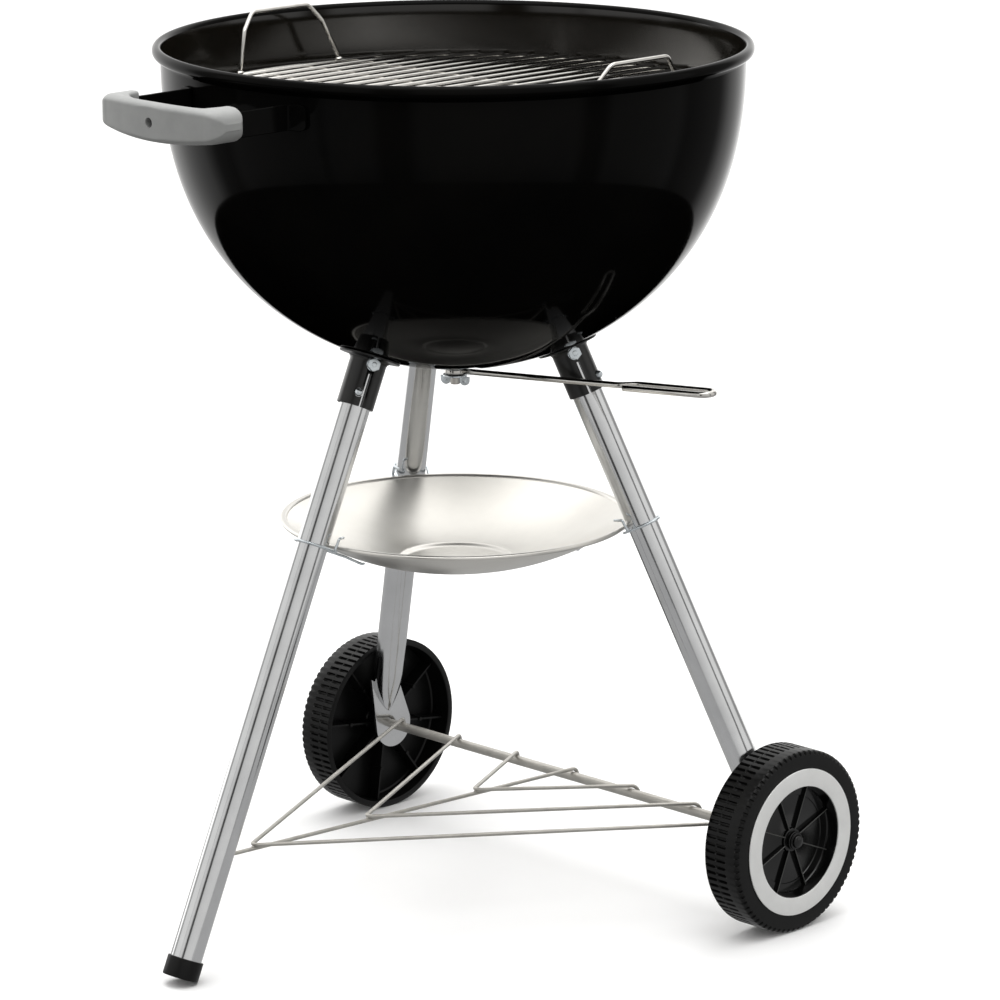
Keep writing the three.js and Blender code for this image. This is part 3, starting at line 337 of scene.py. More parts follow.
def material(name, colour, dark, roughness, metallic=0.0, specular=0.5, blotch=18, grain=900,
             depth=0.00004, strength=0.25):
    """A Principled finish. Its colour and roughness drift a little over the surface, and a fine
    grain of the given depth and strength bumps it. blotch and grain are noise scales per metre."""
    made = bpy.data.materials.new(name)
    made.use_nodes = True
    tree = made.node_tree
    shader = tree.nodes["Principled BSDF"]
    link = tree.links.new
    shader.inputs["Metallic"].default_value = metallic
    shader.inputs["Specular IOR Level"].default_value = specular
    place = node(tree, "ShaderNodeTexCoord")
    cloud = node(tree, "ShaderNodeTexNoise", Scale=blotch, Detail=5.0, Roughness=0.6)
    link(place.outputs["Object"], cloud.inputs["Vector"])
    ramp = node(tree, "ShaderNodeValToRGB")
    for element, place_on_ramp, shade in zip(ramp.color_ramp.elements, (0.3, 0.62), (dark, colour)):
        element.position = place_on_ramp
        element.color = (*shade, 1)
    link(cloud.outputs["Fac"], ramp.inputs["Fac"])
    link(ramp.outputs["Color"], shader.inputs["Base Color"])
    fine = node(tree, "ShaderNodeTexNoise", Scale=grain, Detail=3.0, Roughness=0.55)
    link(place.outputs["Object"], fine.inputs["Vector"])
    spread = node(tree, "ShaderNodeMapRange", To_Min=roughness[0], To_Max=roughness[1])
    link(cloud.outputs["Fac"], spread.inputs["Value"])
    link(spread.outputs["Result"], shader.inputs["Roughness"])
    bump = node(tree, "ShaderNodeBump", Strength=strength, Distance=depth)
    link(fine.outputs["Fac"], bump.inputs["Height"])
    link(bump.outputs["Normal"], shader.inputs["Normal"])
    return made


LOOKS = {
    "enamel": material(
        "enamel_black", (0.0035, 0.0033, 0.003), (0.002, 0.002, 0.002), (0.05, 0.1),
        # The bowl's inside: the same black enamel, with a faint warm brown painted into its colour as a
        # painted reflection, and a higher specular level than the outside.
        specular=0.03, blotch=9, grain=260, depth=0.00002, strength=0.12),
    "enamel_inside_painted_reflection": material(
        "enamel_inside_painted_reflection", (0.006, 0.005, 0.0035), (0.004, 0.0035, 0.0025), (0.08, 0.16),
        specular=0.45, blotch=12, grain=200, strength=0.2),
    "enamel_satin": material(
        "enamel_satin", (0.008, 0.008, 0.0075), (0.005, 0.005, 0.005), (0.24, 0.34),
        specular=0.4, blotch=30, grain=600, depth=0.00003, strength=0.2),
    "leg_chrome": material(
        "chrome_tube", (0.66, 0.665, 0.67), (0.6, 0.605, 0.61), (0.1, 0.18),
        metallic=1.0, blotch=30, grain=500, depth=0.00001, strength=0.15),
    "wire_chrome": material(
        "chrome_wire", (0.6, 0.585, 0.555), (0.48, 0.465, 0.44), (0.1, 0.18),
        metallic=1.0, blotch=60, strength=0.2),
    "rack_wire": material(
        "rack_plating", (0.5, 0.485, 0.45), (0.4, 0.385, 0.355), (0.42, 0.55),
        metallic=0.9, blotch=70, grain=1500, strength=0.3),
    "zinc": material(
        "zinc_plating", (0.66, 0.7, 0.72), (0.5, 0.54, 0.57), (0.2, 0.36),
        metallic=1.0, blotch=120, grain=1500, strength=0.3),
    "pan_aluminium": material(
        "pan_satin", (0.68, 0.665, 0.625), (0.6, 0.585, 0.55), (0.26, 0.36),
        metallic=1.0, blotch=14, grain=1400),
    "sweep_aluminium": material(
        "sweep_plating", (0.62, 0.6, 0.56), (0.48, 0.46, 0.43), (0.32, 0.48),
        metallic=1.0, blotch=40, grain=1400, strength=0.3),
    "grip_nylon": material(
        "grip_grey", (0.3, 0.304, 0.3), (0.265, 0.27, 0.265), (0.42, 0.5),
        specular=0.4, blotch=45, grain=2600, depth=0.00006, strength=0.3),
    "black_plastic": material(
        "plastic_black", (0.0035, 0.0035, 0.0034), (0.002, 0.002, 0.002), (0.3, 0.44),
        specular=0.2, blotch=50, grain=2200, depth=0.00005, strength=0.3),
    # The tops of the ribs in the wheel's recess: a lighter grey painted on them as a painted highlight.
    "plastic_rib_painted_highlight": material(
        "plastic_rib_painted_highlight", (0.055, 0.055, 0.052), (0.035, 0.035, 0.033), (0.25, 0.35),
        blotch=60, strength=0.2),
    "plastic_gloss": material(
        "plastic_gloss", (0.003, 0.003, 0.003), (0.002, 0.002, 0.002), (0.1, 0.18),
        specular=0.4, blotch=50, grain=300, depth=0.00006, strength=0.3),
    "trim_white": material(
        "trim_silver_white", (0.83, 0.835, 0.825), (0.78, 0.785, 0.775), (0.35, 0.45),
        blotch=60, grain=2000, strength=0.2),
}

# ---------------------------------------------------------------- pieces


def mesh_of(name, shape):
    mesh = bpy.data.meshes.new(name)
    mesh.from_pydata((shape.verts * MM).tolist(), [], shape.faces)
    work = bmesh.new()
    work.from_mesh(mesh)
    bmesh.ops.remove_doubles(work, verts=work.verts, dist=1e-7)
    bmesh.ops.recalc_face_normals(work, faces=work.faces)
    work.to_mesh(mesh)
    work.free()
    mesh.update()
    return mesh


def baked(obj):
    """Applies the object's modifiers to its mesh."""
    bpy.context.view_layer.update()
    result = bpy.data.meshes.new_from_object(obj.evaluated_get(bpy.context.evaluated_depsgraph_get()))
    obj.modifiers.clear()
    obj.data = result


def added(name, data):
    """A new object in the scene with this mesh, light or camera."""
    obj = bpy.data.objects.new(name, data)
    bpy.context.scene.collection.objects.link(obj)
    return obj


def cut(obj, cutters):
    """Cuts shapes out of the object's mesh."""
    tools = []
    for cutter in cutters:
        tool = added("tool", mesh_of("tool", cutter))
        modifier = obj.modifiers.new("cut", "BOOLEAN")
        modifier.operation = "DIFFERENCE"
        modifier.solver = "EXACT"
        modifier.object = tool
        tools.append(tool)
    baked(obj)
    for tool in tools:
        bpy.data.objects.remove(tool)


def dress(obj, finishes, sharp):
    """Gives the object's mesh its materials, and smooth shading up to an angle."""
    obj.data.materials.clear()
    for finish in finishes:
        obj.data.materials.append(LOOKS[finish])
    obj.data.shade_smooth()
    obj.data.set_sharp_from_angle(angle=math.radians(sharp))


def piece(look, node_name, shape, cutters=(), sharp=35, finishes=None):
    """Makes one visible piece in place of a CAD node, on its body. look names its material,
    unless finishes names others."""
    name = node_name + "_finish"
    obj = added(name, mesh_of(name, shape))
    if cutters:
        cut(obj, cutters)
    dress(obj, finishes or [look], sharp)
    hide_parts(node_name)
    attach(obj, BODY_OF[node_name])
    return obj


# ---------------------------------------------------------------- bowl


def bowl_point(t, offset=0.0):
    """The (radius, z) of a share of the way from the bowl's bottom to its rim, off the outer wall."""
    def at(s):
        a = s * math.pi / 2
        r = BOWL_RADIUS * math.sin(a) ** (2 / RADIUS_POWER)
        return np.array((r, RIM_Z - BOWL_DEPTH * math.cos(a) ** (2 / DEPTH_POWER)))
    here, along_wall = at(t), at(t + 0.002) - at(max(t - 0.002, 0))
    along_wall /= np.linalg.norm(along_wall)
    return (here[0] + offset * along_wall[1], here[1] - offset * along_wall[0])


def bowl_share(radius):
    """How far up the bowl's wall has this radius, as bowl_point counts it."""
    return math.asin((radius / BOWL_RADIUS) ** (RADIUS_POWER / 2)) / (math.pi / 2)


def inner_radius(z):
    share = 1 - ((RIM_Z - z) / BOWL_DEPTH) ** DEPTH_POWER
    return BOWL_RADIUS * share ** (1 / RADIUS_POWER) - BOWL_WALL


def bowl():
    shares = np.linspace(bowl_share(BOWL_HOLE), WALL_TOP, 90)
    outer = [bowl_point(t) for t in shares]
    inner = [bowl_point(t, -BOWL_WALL) for t in reversed(shares)]
    inner[-1] = (BOWL_HOLE, inner[-1][1])
    bead = [(RIM_CENTRE + RIM_HALF_WIDTH * math.cos(a), RIM_Z + RIM_HALF_HEIGHT * math.sin(a))
            for a in np.radians(np.linspace(-60, 165, 22))]
    vents = []
    for azimuth in VENT_AZIMUTHS:
        outline = arc(VENT_OUTER, 0, VENT_HALF_WIDTH, -90, 90, 16)
        outline += arc(VENT_INNER, 0, VENT_HALF_WIDTH, 90, 270, 16)
        vents.append(slab(outline, RIM_Z - BOWL_DEPTH - 10, RIM_Z - BOWL_DEPTH + 40).at(turn(azimuth)))
    wall = lathe(outer + bead + inner, 240, closed=True)
    shell = piece("enamel", "bowl", wall, vents, sharp=40, finishes=["enamel", "enamel_inside_painted_reflection"])
    # Faces turned inwards or upwards below the rim get the inside enamel, with its warm painted reflection.
    for face in shell.data.polygons:
        inward = face.normal.x * face.center.x + face.normal.y * face.center.y < 0 or face.normal.z > 0.7
        face.material_index = int(inward and face.center.z < (RIM_Z - 3) * MM)


bowl()

# ---------------------------------------------------------------- grates


def ring_height(grate):
    return grate["z"] - grate["bar"] - grate["ring_wire"] + 0.6


def bar_ys(grate):
    return [(i - (grate["bars"] - 1) / 2) * grate["pitch"] for i in range(grate["bars"])]


def grate_pieces(grate, name, tabs):
    parts = [ring(grate["ring"], grate["ring_wire"], ring_height(grate))]
    under = grate["z"] - grate["bar"]
    for y in bar_ys(grate):
        half = math.sqrt(grate["ring"] ** 2 - y ** 2) + 1
        parts.append(wire([(-half, y, grate["z"]), (half, y, grate["z"])], grate["bar"]))
        for x in grate["cross"]:
            parts.append(ball(x, y, under - 0.1, 3.1, 2.5, 1.3))
        for end in (-1, 1):
            parts.append(ball(end * (half - 1), y, under + 0.2, 2.6, 2.6, 1.4))
    piece("wire_chrome", name, joined(parts), sharp=50)
    for i, x in enumerate(grate["cross"]):
        inside = grate["ring"] - grate["ring_wire"] - 1.6
        half = math.sqrt(inside ** 2 - (abs(x) + CROSS_WIRE) ** 2)
        z = under - CROSS_WIRE - GAP
        cross_wire = wire([(x, -half, z), (x, half, z)], CROSS_WIRE)
        piece("wire_chrome", f"{name}_cross_wire_{i + 1}", cross_wire, sharp=50)
    shelf = ring_height(grate) - grate["ring_wire"] - GAP
    for i, azimuth in enumerate(TAB_AZIMUTHS):
        piece("enamel", f"{tabs}_{i + 1}", tab(shelf).at(turn(azimuth)))


def tab(shelf):
    """A bent sheet tab welded to the bowl's wall, with its shelf under a grate's ring."""
    wall = inner_radius(shelf - TAB_HEIGHT)
    back = math.sqrt(wall ** 2 - TAB_HALF_WIDTH ** 2) - GAP - 1.6 - TAB_SHEET / 2
    line = bent([(back, 0, shelf - TAB_HEIGHT), (back, 0, shelf - TAB_SHEET / 2),
                 (back + TAB_SHEET / 2 - TAB_REACH, 0, shelf - TAB_SHEET / 2)], 2.4, 12)
    section = strip_section(TAB_HALF_WIDTH, TAB_SHEET / 2, 0.3, 0.3)
    points = [line[0].lerp(line[1], s) for s in (0, 0.08, 0.2)] + line[1:-1]
    points += [line[-2].lerp(line[-1], s) for s in (0.72, 0.9, 0.97, 1)]
    widths = [0.8, 0.96, 1] + [1] * (len(line) - 2) + [1, 0.94, 0.86, 0.74]
    shape = flat_sweep(points, section, [(width, 1) for width in widths])
    spots = [ball(back + 0.9, y, shelf - TAB_HEIGHT + 5, 0.9, 2.2, 2.2) for y in (-4.5, 4.5)]
    return joined([shape] + spots)


grate_pieces(COOKING, "cooking_grate", "cooking_grate_tab")
grate_pieces(CHARCOAL, "charcoal_grate", "charcoal_grate_tab")


def grate_loop(side):
    y = bar_ys(COOKING)[-1]
    foot = COOKING["z"] + COOKING["bar"] + LOOP_WIRE / 2 + GAP
    lean = math.tan(math.radians(LOOP_LEAN))
    half = [(x, side * (y + h * lean), foot + h) for x, h in LOOP_HALF]
    corners = half + [(-x, y1, z) for x, y1, z in reversed(half)]
    shape = wire(bent(corners, LOOP_BEND), LOOP_THIN, 16)
    welds = [ball(end * LOOP_HALF[0][0], side * y, foot - 0.9, 3.4, 2.9, 1.5) for end in (-1, 1)]
    return joined([shape] + welds)


piece("wire_chrome", "grate_handle_left", grate_loop(-1), sharp=50)
piece("wire_chrome", "grate_handle_right", grate_loop(1), sharp=50)

# ---------------------------------------------------------------- side handle


HANDLE_AXIS = move(0, 0, HANDLE_Z) @ turn(90, "Y")


def strap():
    """The bracket: one strip folded flat on the bowl at both ends."""
    r = BOWL_RADIUS + 0.5 + STRAP_SHEET / 2
    foot = [(math.sqrt(r ** 2 - y ** 2), y, HANDLE_Z) for y in (71.5, 70.8, 69.4, 67, 63)]
    root = (math.sqrt(r ** 2 - STRAP_ARM_Y ** 2), STRAP_ARM_Y, HANDLE_Z)
    half = [Vector(p) for p in foot] + [Vector(root), Vector((STRAP_X, STRAP_ARM_Y, HANDLE_Z))]
    corners = half + [Vector((p.x, -p.y, p.z)) for p in reversed(half)]
    path = bent_some(corners, 3.4, (5, 6, 7, 8))
    section = strip_section(STRAP_SHEET / 2, STRAP_HALF_HEIGHT, 0.5, 0.5)
    ends = [0.62, 0.8, 0.93, 1]
    heights = ends + [1] * (len(path) - 2 * len(ends)) + ends[::-1]
    shape = sweep(path, section, [(1, height) for height in heights], up=(0, 0, 1))
    spots = []
    for side in (-1, 1):
        for z in (-4.5, 4.5):
            q = r + STRAP_SHEET / 2
            spots.append(ball(math.sqrt(q ** 2 - 64 ** 2) - 0.3, side * 64, HANDLE_Z + z, 0.9, 2.4, 2.4))
    return joined([shape] + spots)


def bent_some(corners, radius, bends):
    """Like bent(), with an arc only at the corners whose numbers are given."""
    points = []
    for i, corner in enumerate(corners):
        if i in bends:
            points += bent([corners[i - 1], corner, corners[i + 1]], radius, 12)[1:-1]
        else:
            points.append(corner)
    return points


def grip_outline():
    """The grip from above: a bowed front, and an end at each side that reaches back."""
    corner, small, fillet, half = GRIP_FRONT_CORNER, GRIP_END_CORNER, GRIP_FILLET, GRIP_HALF_LENGTH
    front, end, back = (HANDLE_REACH - depth for depth in (GRIP_BOW, GRIP_END_DEPTH, GRIP_BAR_DEPTH))
    corner_y, inner_y = half - corner, half - GRIP_END_WIDTH
    bow = [(HANDLE_REACH - GRIP_BOW * s * s, corner_y * s) for s in np.linspace(-0.92, 0.92, 25)]
    return (
        arc(front - corner, -corner_y, corner, -90, 0, 10)
        + bow
        + arc(front - corner, corner_y, corner, 0, 90, 10)
        + arc(end + small, half - small, small, 90, 180, 5)
        + arc(end + small, inner_y + small, small, 180, 270, 5)
        + arc(back - fillet, inner_y - fillet, fillet, 90, 0, 8)
        + arc(back - fillet, -inner_y + fillet, fillet, 0, -90, 8)
        + arc(end + small, -inner_y - small, small, 90, 180, 5)
        + arc(end + small, -half + small, small, 180, 270, 5)
    )


def smooth(value, low, high):
    t = min(max((value - low) / (high - low), 0), 1)
    return t * t * (3 - 2 * t)


def grip_heights(from_front, side):
    """How high the grip's top and how deep its underside are over its middle plane."""
    past = max(0, side - (GRIP_HALF_LENGTH - GRIP_CORNER))
    corner = min(GRIP_CORNER - math.sqrt(max(GRIP_CORNER ** 2 - past ** 2, 0)), GRIP_CORNER * 0.8)
    share = side / GRIP_HALF_LENGTH
    roll = GRIP_ROLL * (1 - smooth(from_front, -1, 9)) ** 2
    dish = GRIP_DISH * smooth(from_front, 5, 13) * (1 - smooth(side, 34, 54))
    top = GRIP_HALF_HEIGHT - corner - roll - dish - GRIP_CROWN * share ** 4
    under = GRIP_HALF_HEIGHT - corner - roll - GRIP_BELLY * share ** 2
    return top, under


def grip():
    """The moulded grip: remeshed finely, then its ends are rounded, its underside bellied and
    its top dished behind the front panel."""
    shape = slab(grip_outline(), -GRIP_HALF_HEIGHT, GRIP_HALF_HEIGHT, GRIP_BEVEL, 4)
    obj = piece("grip_nylon", "handle_grip", shape)
    remesh = obj.modifiers.new("remesh", "REMESH")
    remesh.mode = "VOXEL"
    remesh.voxel_size = GRIP_VOXEL * MM
    baked(obj)
    for v in obj.data.vertices:
        x, y, z = v.co / MM
        bow = GRIP_BOW * (y / (GRIP_HALF_LENGTH - GRIP_FRONT_CORNER)) ** 2
        top, under = grip_heights(HANDLE_REACH - bow - x, abs(y))
        z *= (top if z > 0 else under) / GRIP_HALF_HEIGHT
        v.co = Vector((min(x, HANDLE_REACH - GRIP_FRONT_GAP), y, z)) * MM
    relax = obj.modifiers.new("relax", "LAPLACIANSMOOTH")
    relax.iterations = 4
    relax.lambda_factor = 0.8
    baked(obj)
    cut(obj, [rod(SCREW_WELL, STRAP_X - 2, HANDLE_REACH + 6, 40).at(turn(90, "Y"))])
    obj.data.transform(move(0, 0, HANDLE_Z * MM))
    dress(obj, ["grip_nylon"], 50)


def handle_screw():
    """A pan-head screw with a cross recess."""
    seat, low = STRAP_X + STRAP_SHEET / 2 + GAP, STRAP_X - STRAP_SHEET / 2
    profile = rounded([(0, low), (2.4, low), (2.4, seat), (3.4, seat), (3.4, seat + 2.2), (0, seat + 3.2)],
                      [0, 0, 0, 0, 1.2, 0])
    bar = slab([(-2, -0.35), (2, -0.35), (2, 0.35), (-2, 0.35)], seat + 1.4, seat + 5, 0.05, 1)
    cross = [bar.at(HANDLE_AXIS, turn(angle)) for angle in (45, 135)]
    piece("zinc", "handle_screw", lathe(profile, 40).at(HANDLE_AXIS), cross)


piece("enamel", "handle_bracket", strap(), [rod(SCREW_HOLE, STRAP_X - 5, STRAP_X + 5).at(HANDLE_AXIS)])
grip()
handle_screw()

# ---------------------------------------------------------------- legs


def leg_matrix(leg):
    """The leg's own frame: its tube runs along Z, through the origin at the reference height."""
    lean = turn(-math.degrees(math.atan(leg["slope"])), "Y")
    return turn(leg["azimuth"]) @ move(LEG_REF_RADIUS, 0, LEG_REF_Z) @ lean


def along(leg, z):
    """Where on the leg's own Z a height above the ground is."""
    return (z - LEG_REF_Z) / math.cos(math.atan(leg["slope"]))


def side_matrix(leg, z, angle):
    """A frame whose Z points out of the leg's side, at a height above the ground."""
    return leg_matrix(leg) @ move(0, 0, along(leg, z)) @ turn(angle) @ turn(90, "Y")


def bowl_distance(points):
    """How far points are outside the bowl's outer wall."""
    r = np.maximum(np.hypot(points[:, 0], points[:, 1]), 1e-6)
    d = np.maximum(RIM_Z - points[:, 2], 1e-6)
    value = (r / BOWL_RADIUS) ** RADIUS_POWER + (d / BOWL_DEPTH) ** DEPTH_POWER - 1
    by_r = RADIUS_POWER / BOWL_RADIUS * (r / BOWL_RADIUS) ** (RADIUS_POWER - 1)
    by_z = DEPTH_POWER / BOWL_DEPTH * (d / BOWL_DEPTH) ** (DEPTH_POWER - 1)
    return value / np.hypot(by_r, by_z)


def seat_height(leg, angles, radius):
    """How far up the leg the bowl's wall is, at angles round the tube and one radius from its middle."""
    m = np.array(leg_matrix(leg))
    low, high = np.full(len(angles), -90.0), np.full(len(angles), 40.0)
    for _ in range(40):
        middle = (low + high) / 2
        local = np.stack([radius * np.cos(angles), radius * np.sin(angles), middle], 1)
        out = bowl_distance(local @ m[:3, :3].T + m[:3, 3]) > GAP + 0.1
        low, high = np.where(out, middle, low), np.where(out, high, middle)
    return low


def socket(leg):
    """A sleeve round the leg with a flange that hugs the bowl, and a seam open up to its bolt."""
    segments, fillet = 120, 3.5
    angles = np.linspace(0, 2 * math.pi, segments, endpoint=False)
    bottom = along(leg, SOCKET_BOTTOM_Z)
    rows = []

    def level(radius, height):
        rows.append((radius, np.full(segments, height)))

    def hugging(radius, drop):
        rows.append((radius, seat_height(leg, angles, radius) - drop))

    level(SOCKET_BORE, bottom + 0.5)
    level(SOCKET_BORE + 0.4, bottom)
    level(SOCKET_RADIUS - 0.5, bottom)
    level(SOCKET_RADIUS, bottom + 0.5)
    for a in np.radians(np.linspace(0, 90, 7)):
        hugging(SOCKET_RADIUS + fillet * (1 - math.cos(a)), FLANGE_SHEET + fillet * (1 - math.sin(a)))
    for radius in (21, 22.5, 24, FLANGE_RADIUS - 0.4):
        hugging(radius, FLANGE_SHEET)
    hugging(FLANGE_RADIUS, FLANGE_SHEET - 0.4)
    hugging(FLANGE_RADIUS, 0.4)
    for radius in (FLANGE_RADIUS - 0.4, 22, 19, 16, SOCKET_BORE):
        hugging(radius, 0)
    rings = [[(radius * math.cos(a), radius * math.sin(a), h) for a, h in zip(angles, heights)]
             for radius, heights in rows]
    shape = stacked(rings, "joined").at(leg_matrix(leg))
    half = SEAM_WIDTH / 2
    near, far = SOCKET_BORE - 2, SOCKET_RADIUS + 2
    slit = [(near, -half), (far, -half), (far, half), (near, half)]
    cutters = [
        slab(slit, bottom - 1, along(leg, BOLT_Z - 7), 0.01, 1).at(leg_matrix(leg), turn(leg["bolt"])),
        rod(BUTTON_RADIUS + 0.5, 8, 22).at(side_matrix(leg, BUTTON_Z, leg["button"])),
        rod(BOLT_HEAD + 0.9, SOCKET_RADIUS - 0.3, 40).at(side_matrix(leg, BOLT_Z, leg["bolt"])),
    ]
    piece("enamel", f"leg_socket_{leg['end']}", shape, cutters, sharp=40, finishes=["enamel_satin"])


def bolt(leg):
    seat = SOCKET_RADIUS + GAP
    hexagon = arc(0, 0, BOLT_HEAD, 0, 360, 6)[:-1]
    head = slab(hexagon, seat + 0.5, seat + BOLT_HEIGHT, 0.5, 3)
    low, high = seat - 0.3, seat + 0.6
    washer = lathe(rounded([(0, low), (5.4, low), (5.4, high), (0, high)], 0.25), 40)
    dimple = ball(0, 0, seat + BOLT_HEIGHT, 2.2, 2.2, 0.35, 20)
    shank = rod(2.9, 9, seat + 1, 24)
    shape = joined([head, washer, dimple, shank]).at(side_matrix(leg, BOLT_Z, leg["bolt"]))
    piece("zinc", f"socket_bolt_{leg['end']}", shape)


def button(leg):
    tip = SOCKET_RADIUS + BUTTON_PROUD
    dome = [(BUTTON_RADIUS * math.cos(a), tip - BUTTON_RADIUS + BUTTON_RADIUS * math.sin(a))
            for a in np.radians(np.linspace(0, 90, 9))]
    dome[-1] = (0, tip)
    profile = [(0, 7), (4.6, 7), (4.6, 8.4), (BUTTON_RADIUS, 8.4)] + dome
    shape = lathe(profile, 36).at(side_matrix(leg, BUTTON_Z, leg["button"]))
    piece("zinc", f"leg_button_{leg['end']}", shape)


def foot_leg(leg):
    bottom, top = along(leg, FOOT_END_Z) + CAP_FLOOR + GAP, along(leg, LEG_TOP_Z)
    inner = LEG_RADIUS - LEG_WALL
    profile = [(LEG_RADIUS, bottom), (LEG_RADIUS, top - 0.3), (LEG_RADIUS - 0.3, top),
               (inner + 0.3, top), (inner, top - 0.3), (inner, bottom)]
    hole = rod(RACK_WIRE + 0.6, 235, 262).at(move(0, 0, RACK_END_Z), turn(90, "Y"))
    piece("leg_chrome", leg["node"], lathe(profile, 96, closed=True).at(leg_matrix(leg)), [hole])


def foot_cap(leg):
    """A push-on cap, worn flat where it stands on the ground."""
    end = along(leg, FOOT_END_Z)
    top, bore, inside = end + CAP_LENGTH, LEG_RADIUS + GAP, end + CAP_FLOOR
    corners = [(0, end), (CAP_RADIUS, end), (CAP_RADIUS, top), (bore, top), (bore, inside), (0, inside)]
    profile = rounded(corners, [0, 1.2, 1.0, 0.3, 0, 0])
    shape = lathe(profile, 72).at(leg_matrix(leg))
    down = np.array(leg_matrix(leg).to_3x3() @ Vector((0, 0, 1)))
    under = shape.verts[:, 2] < 0
    shape.verts[under] += np.outer(-shape.verts[under, 2] / down[2], down)
    shape.verts[under, 2] = 0
    piece("black_plastic", "foot_cap", shape)


def wheel_leg(leg):
    """A tube pressed flat against its axle plate: the side towards the wheel lies in the plate,
    and the other side tapers to a point in front of it."""
    side = math.copysign(1, leg["azimuth"])
    m = np.array(leg_matrix(leg))
    top, end = along(leg, LEG_TOP_Z), along(leg, 94)
    press_from, limit = along(leg, 132), PLATE_OUTER - 0.4
    angles = np.linspace(0, 2 * math.pi, 96, endpoint=False)
    verts, rows = [], []

    def section(height, radius):
        local = np.stack([radius * np.cos(angles), radius * np.sin(angles), np.full(96, height)], 1)
        world = local @ m[:3, :3].T + m[:3, 3]
        centre = m[:3, :3] @ np.array((0, 0, height)) + m[:3, 3]
        t = min(max((press_from - height) / (press_from - end), 0), 1)
        width, depth = (1 - t ** 3) ** 0.5, (1 - t ** 2.2) ** 0.6
        plane = PLATE_OUTER - PLATE_THICKNESS + 0.4
        for p in world:
            q = p.copy()
            q[0] = centre[0] + (p[0] - centre[0]) * width
            y = side * p[1]
            if t > 0:
                y = plane + (y - plane) * depth if y < plane else plane + (y - plane) * max(depth, 0.05)
            q[1] = side * min(y, limit)
            verts.append(tuple(q))
        rows.append(list(range(len(verts) - 96, len(verts))))

    heights = [top, top - 0.3, *np.linspace(top - 20, press_from + 8, 12)]
    heights += list(np.linspace(press_from, end, 34))
    for i, height in enumerate(heights):
        section(height, LEG_RADIUS - (0.3 if i == 0 else 0))
    outer_rows = list(rows)
    rows.clear()
    for i, height in enumerate((top, top - 0.3, top - 20, press_from + 40)):
        section(height, LEG_RADIUS - LEG_WALL + (0.3 if i == 0 else 0))
    faces = bridge(outer_rows) + [tuple(outer_rows[-1])]
    faces += bridge([outer_rows[0]] + rows) + [tuple(rows[-1])]
    tube = Shape(verts, faces)
    lean = math.degrees(math.atan(leg["slope"] * 0.5))
    outline = arc(0, 0, PLATE_RADIUS, -185, 5, 40) + [(15.5, 50), (5, 40), (-4, 40), (-13, 50)]
    back = PLATE_OUTER if side > 0 else PLATE_THICKNESS - PLATE_OUTER
    at_plate = move(AXLE_X, back, WHEEL_RADIUS) @ turn(90, "X")
    tongue = slab(outline, 0, PLATE_THICKNESS, 0.5, 3).at(at_plate, turn(-lean))
    piece("leg_chrome", leg["node"], tube + tongue, sharp=38)


for leg in LEGS:
    socket(leg)
    bolt(leg)
    button(leg)
foot_leg(LEGS[0])
foot_cap(LEGS[0])
wheel_leg(LEGS[1])
wheel_leg(LEGS[2])

# ---------------------------------------------------------------- axle and wheels


def on_axle(side):
    return move(AXLE_X, 0, WHEEL_RADIUS) @ turn(-side * 90, "X")


def axle():
    corners = [(0, -AXLE_HALF), (AXLE_RADIUS, -AXLE_HALF), (AXLE_RADIUS, AXLE_HALF), (0, AXLE_HALF)]
    piece("rack_wire", "axle", lathe(rounded(corners, 0.6), 48).at(on_axle(1)))


def tread_depth(y):
    """How much of the groove depth a place across the tread has."""
    best = 0.0
    for low, high in TREAD_ROWS:
        best = max(best, min(smooth(y, low - 0.5, low + 0.5), 1 - smooth(y, high - 0.8, high + 0.8)))
    return best


def tyre_radii(r, y, angles):
    """The tread's radii round the wheel: its grooves between ribs, and the notches of its edge."""
    if r < WHEEL_RADIUS - SHOULDER + 0.05:
        return np.full(len(angles), float(r))
    phase = (angles * TREAD_RIBS / (2 * math.pi)) % 1
    distance = np.abs(phase - 0.5) / (TREAD_SHARE / 2)
    groove = np.clip(1.35 - distance ** 2, 0, 1)
    low = WHEEL_RADIUS - SHOULDER
    edge = EDGE_DEPTH * smooth(y, WHEEL_OUTER - 3.4, WHEEL_OUTER - 1.8) * smooth(r, low, low + 2.2)
    return r - max(TREAD_DEPTH * tread_depth(y), edge) * groove


def tread_profile():
    low, (first, second) = WHEEL_INNER, TREAD_ROWS
    middle = (first[1] + second[0]) / 2
    across = [*np.linspace(first[0] - 0.6, first[1] + 0.8, 12), middle - 0.35, middle + 0.35,
              *np.linspace(second[0] - 0.8, second[1] + 1, 12)]
    shoulder = arc(WHEEL_RADIUS - SHOULDER, WHEEL_OUTER - SHOULDER, SHOULDER, 0, 90, 10)
    return [(73.8, low), (75.1, low + 0.7)] + [(WHEEL_RADIUS, y) for y in across] + shoulder


def face_profile():
    """The wheel's outer side, from the trim ring's seat down into the recess and up the hub."""
    seat = [(66, 0), (TRIM_INNER + 0.2, 0), (TRIM_INNER - 0.5, -0.3)]
    recess = [(TRIM_INNER - 1.6, 1), (TRIM_INNER - 2.4, 0), (37, 0), (36.6, -0.6), (11.5, -0.6), (10.4, 0)]
    hub = [(10, 1), (9.9, 2), (9.4, 2.5), (7.9, 2.7), (7.7, 5.6), (7.3, 6), (WHEEL_BORE, 6)]
    return [(r, WHEEL_OUTER + y) for r, y in seat] + [(r, FACE_RECESS + y) for r, y in recess + hub]


def back_profile():
    """The wheel's inner side, from the hub out to the tyre's wall."""
    low, web = WHEEL_INNER, WEB_BACK
    return [(WHEEL_BORE, low + GAP), (9.4, low + GAP), (10, low + GAP + 0.6), (10.6, web - 1), (11.6, web),
            (68, web), (69.3, web - 1), (70.4, low + 0.5), (71, low)]


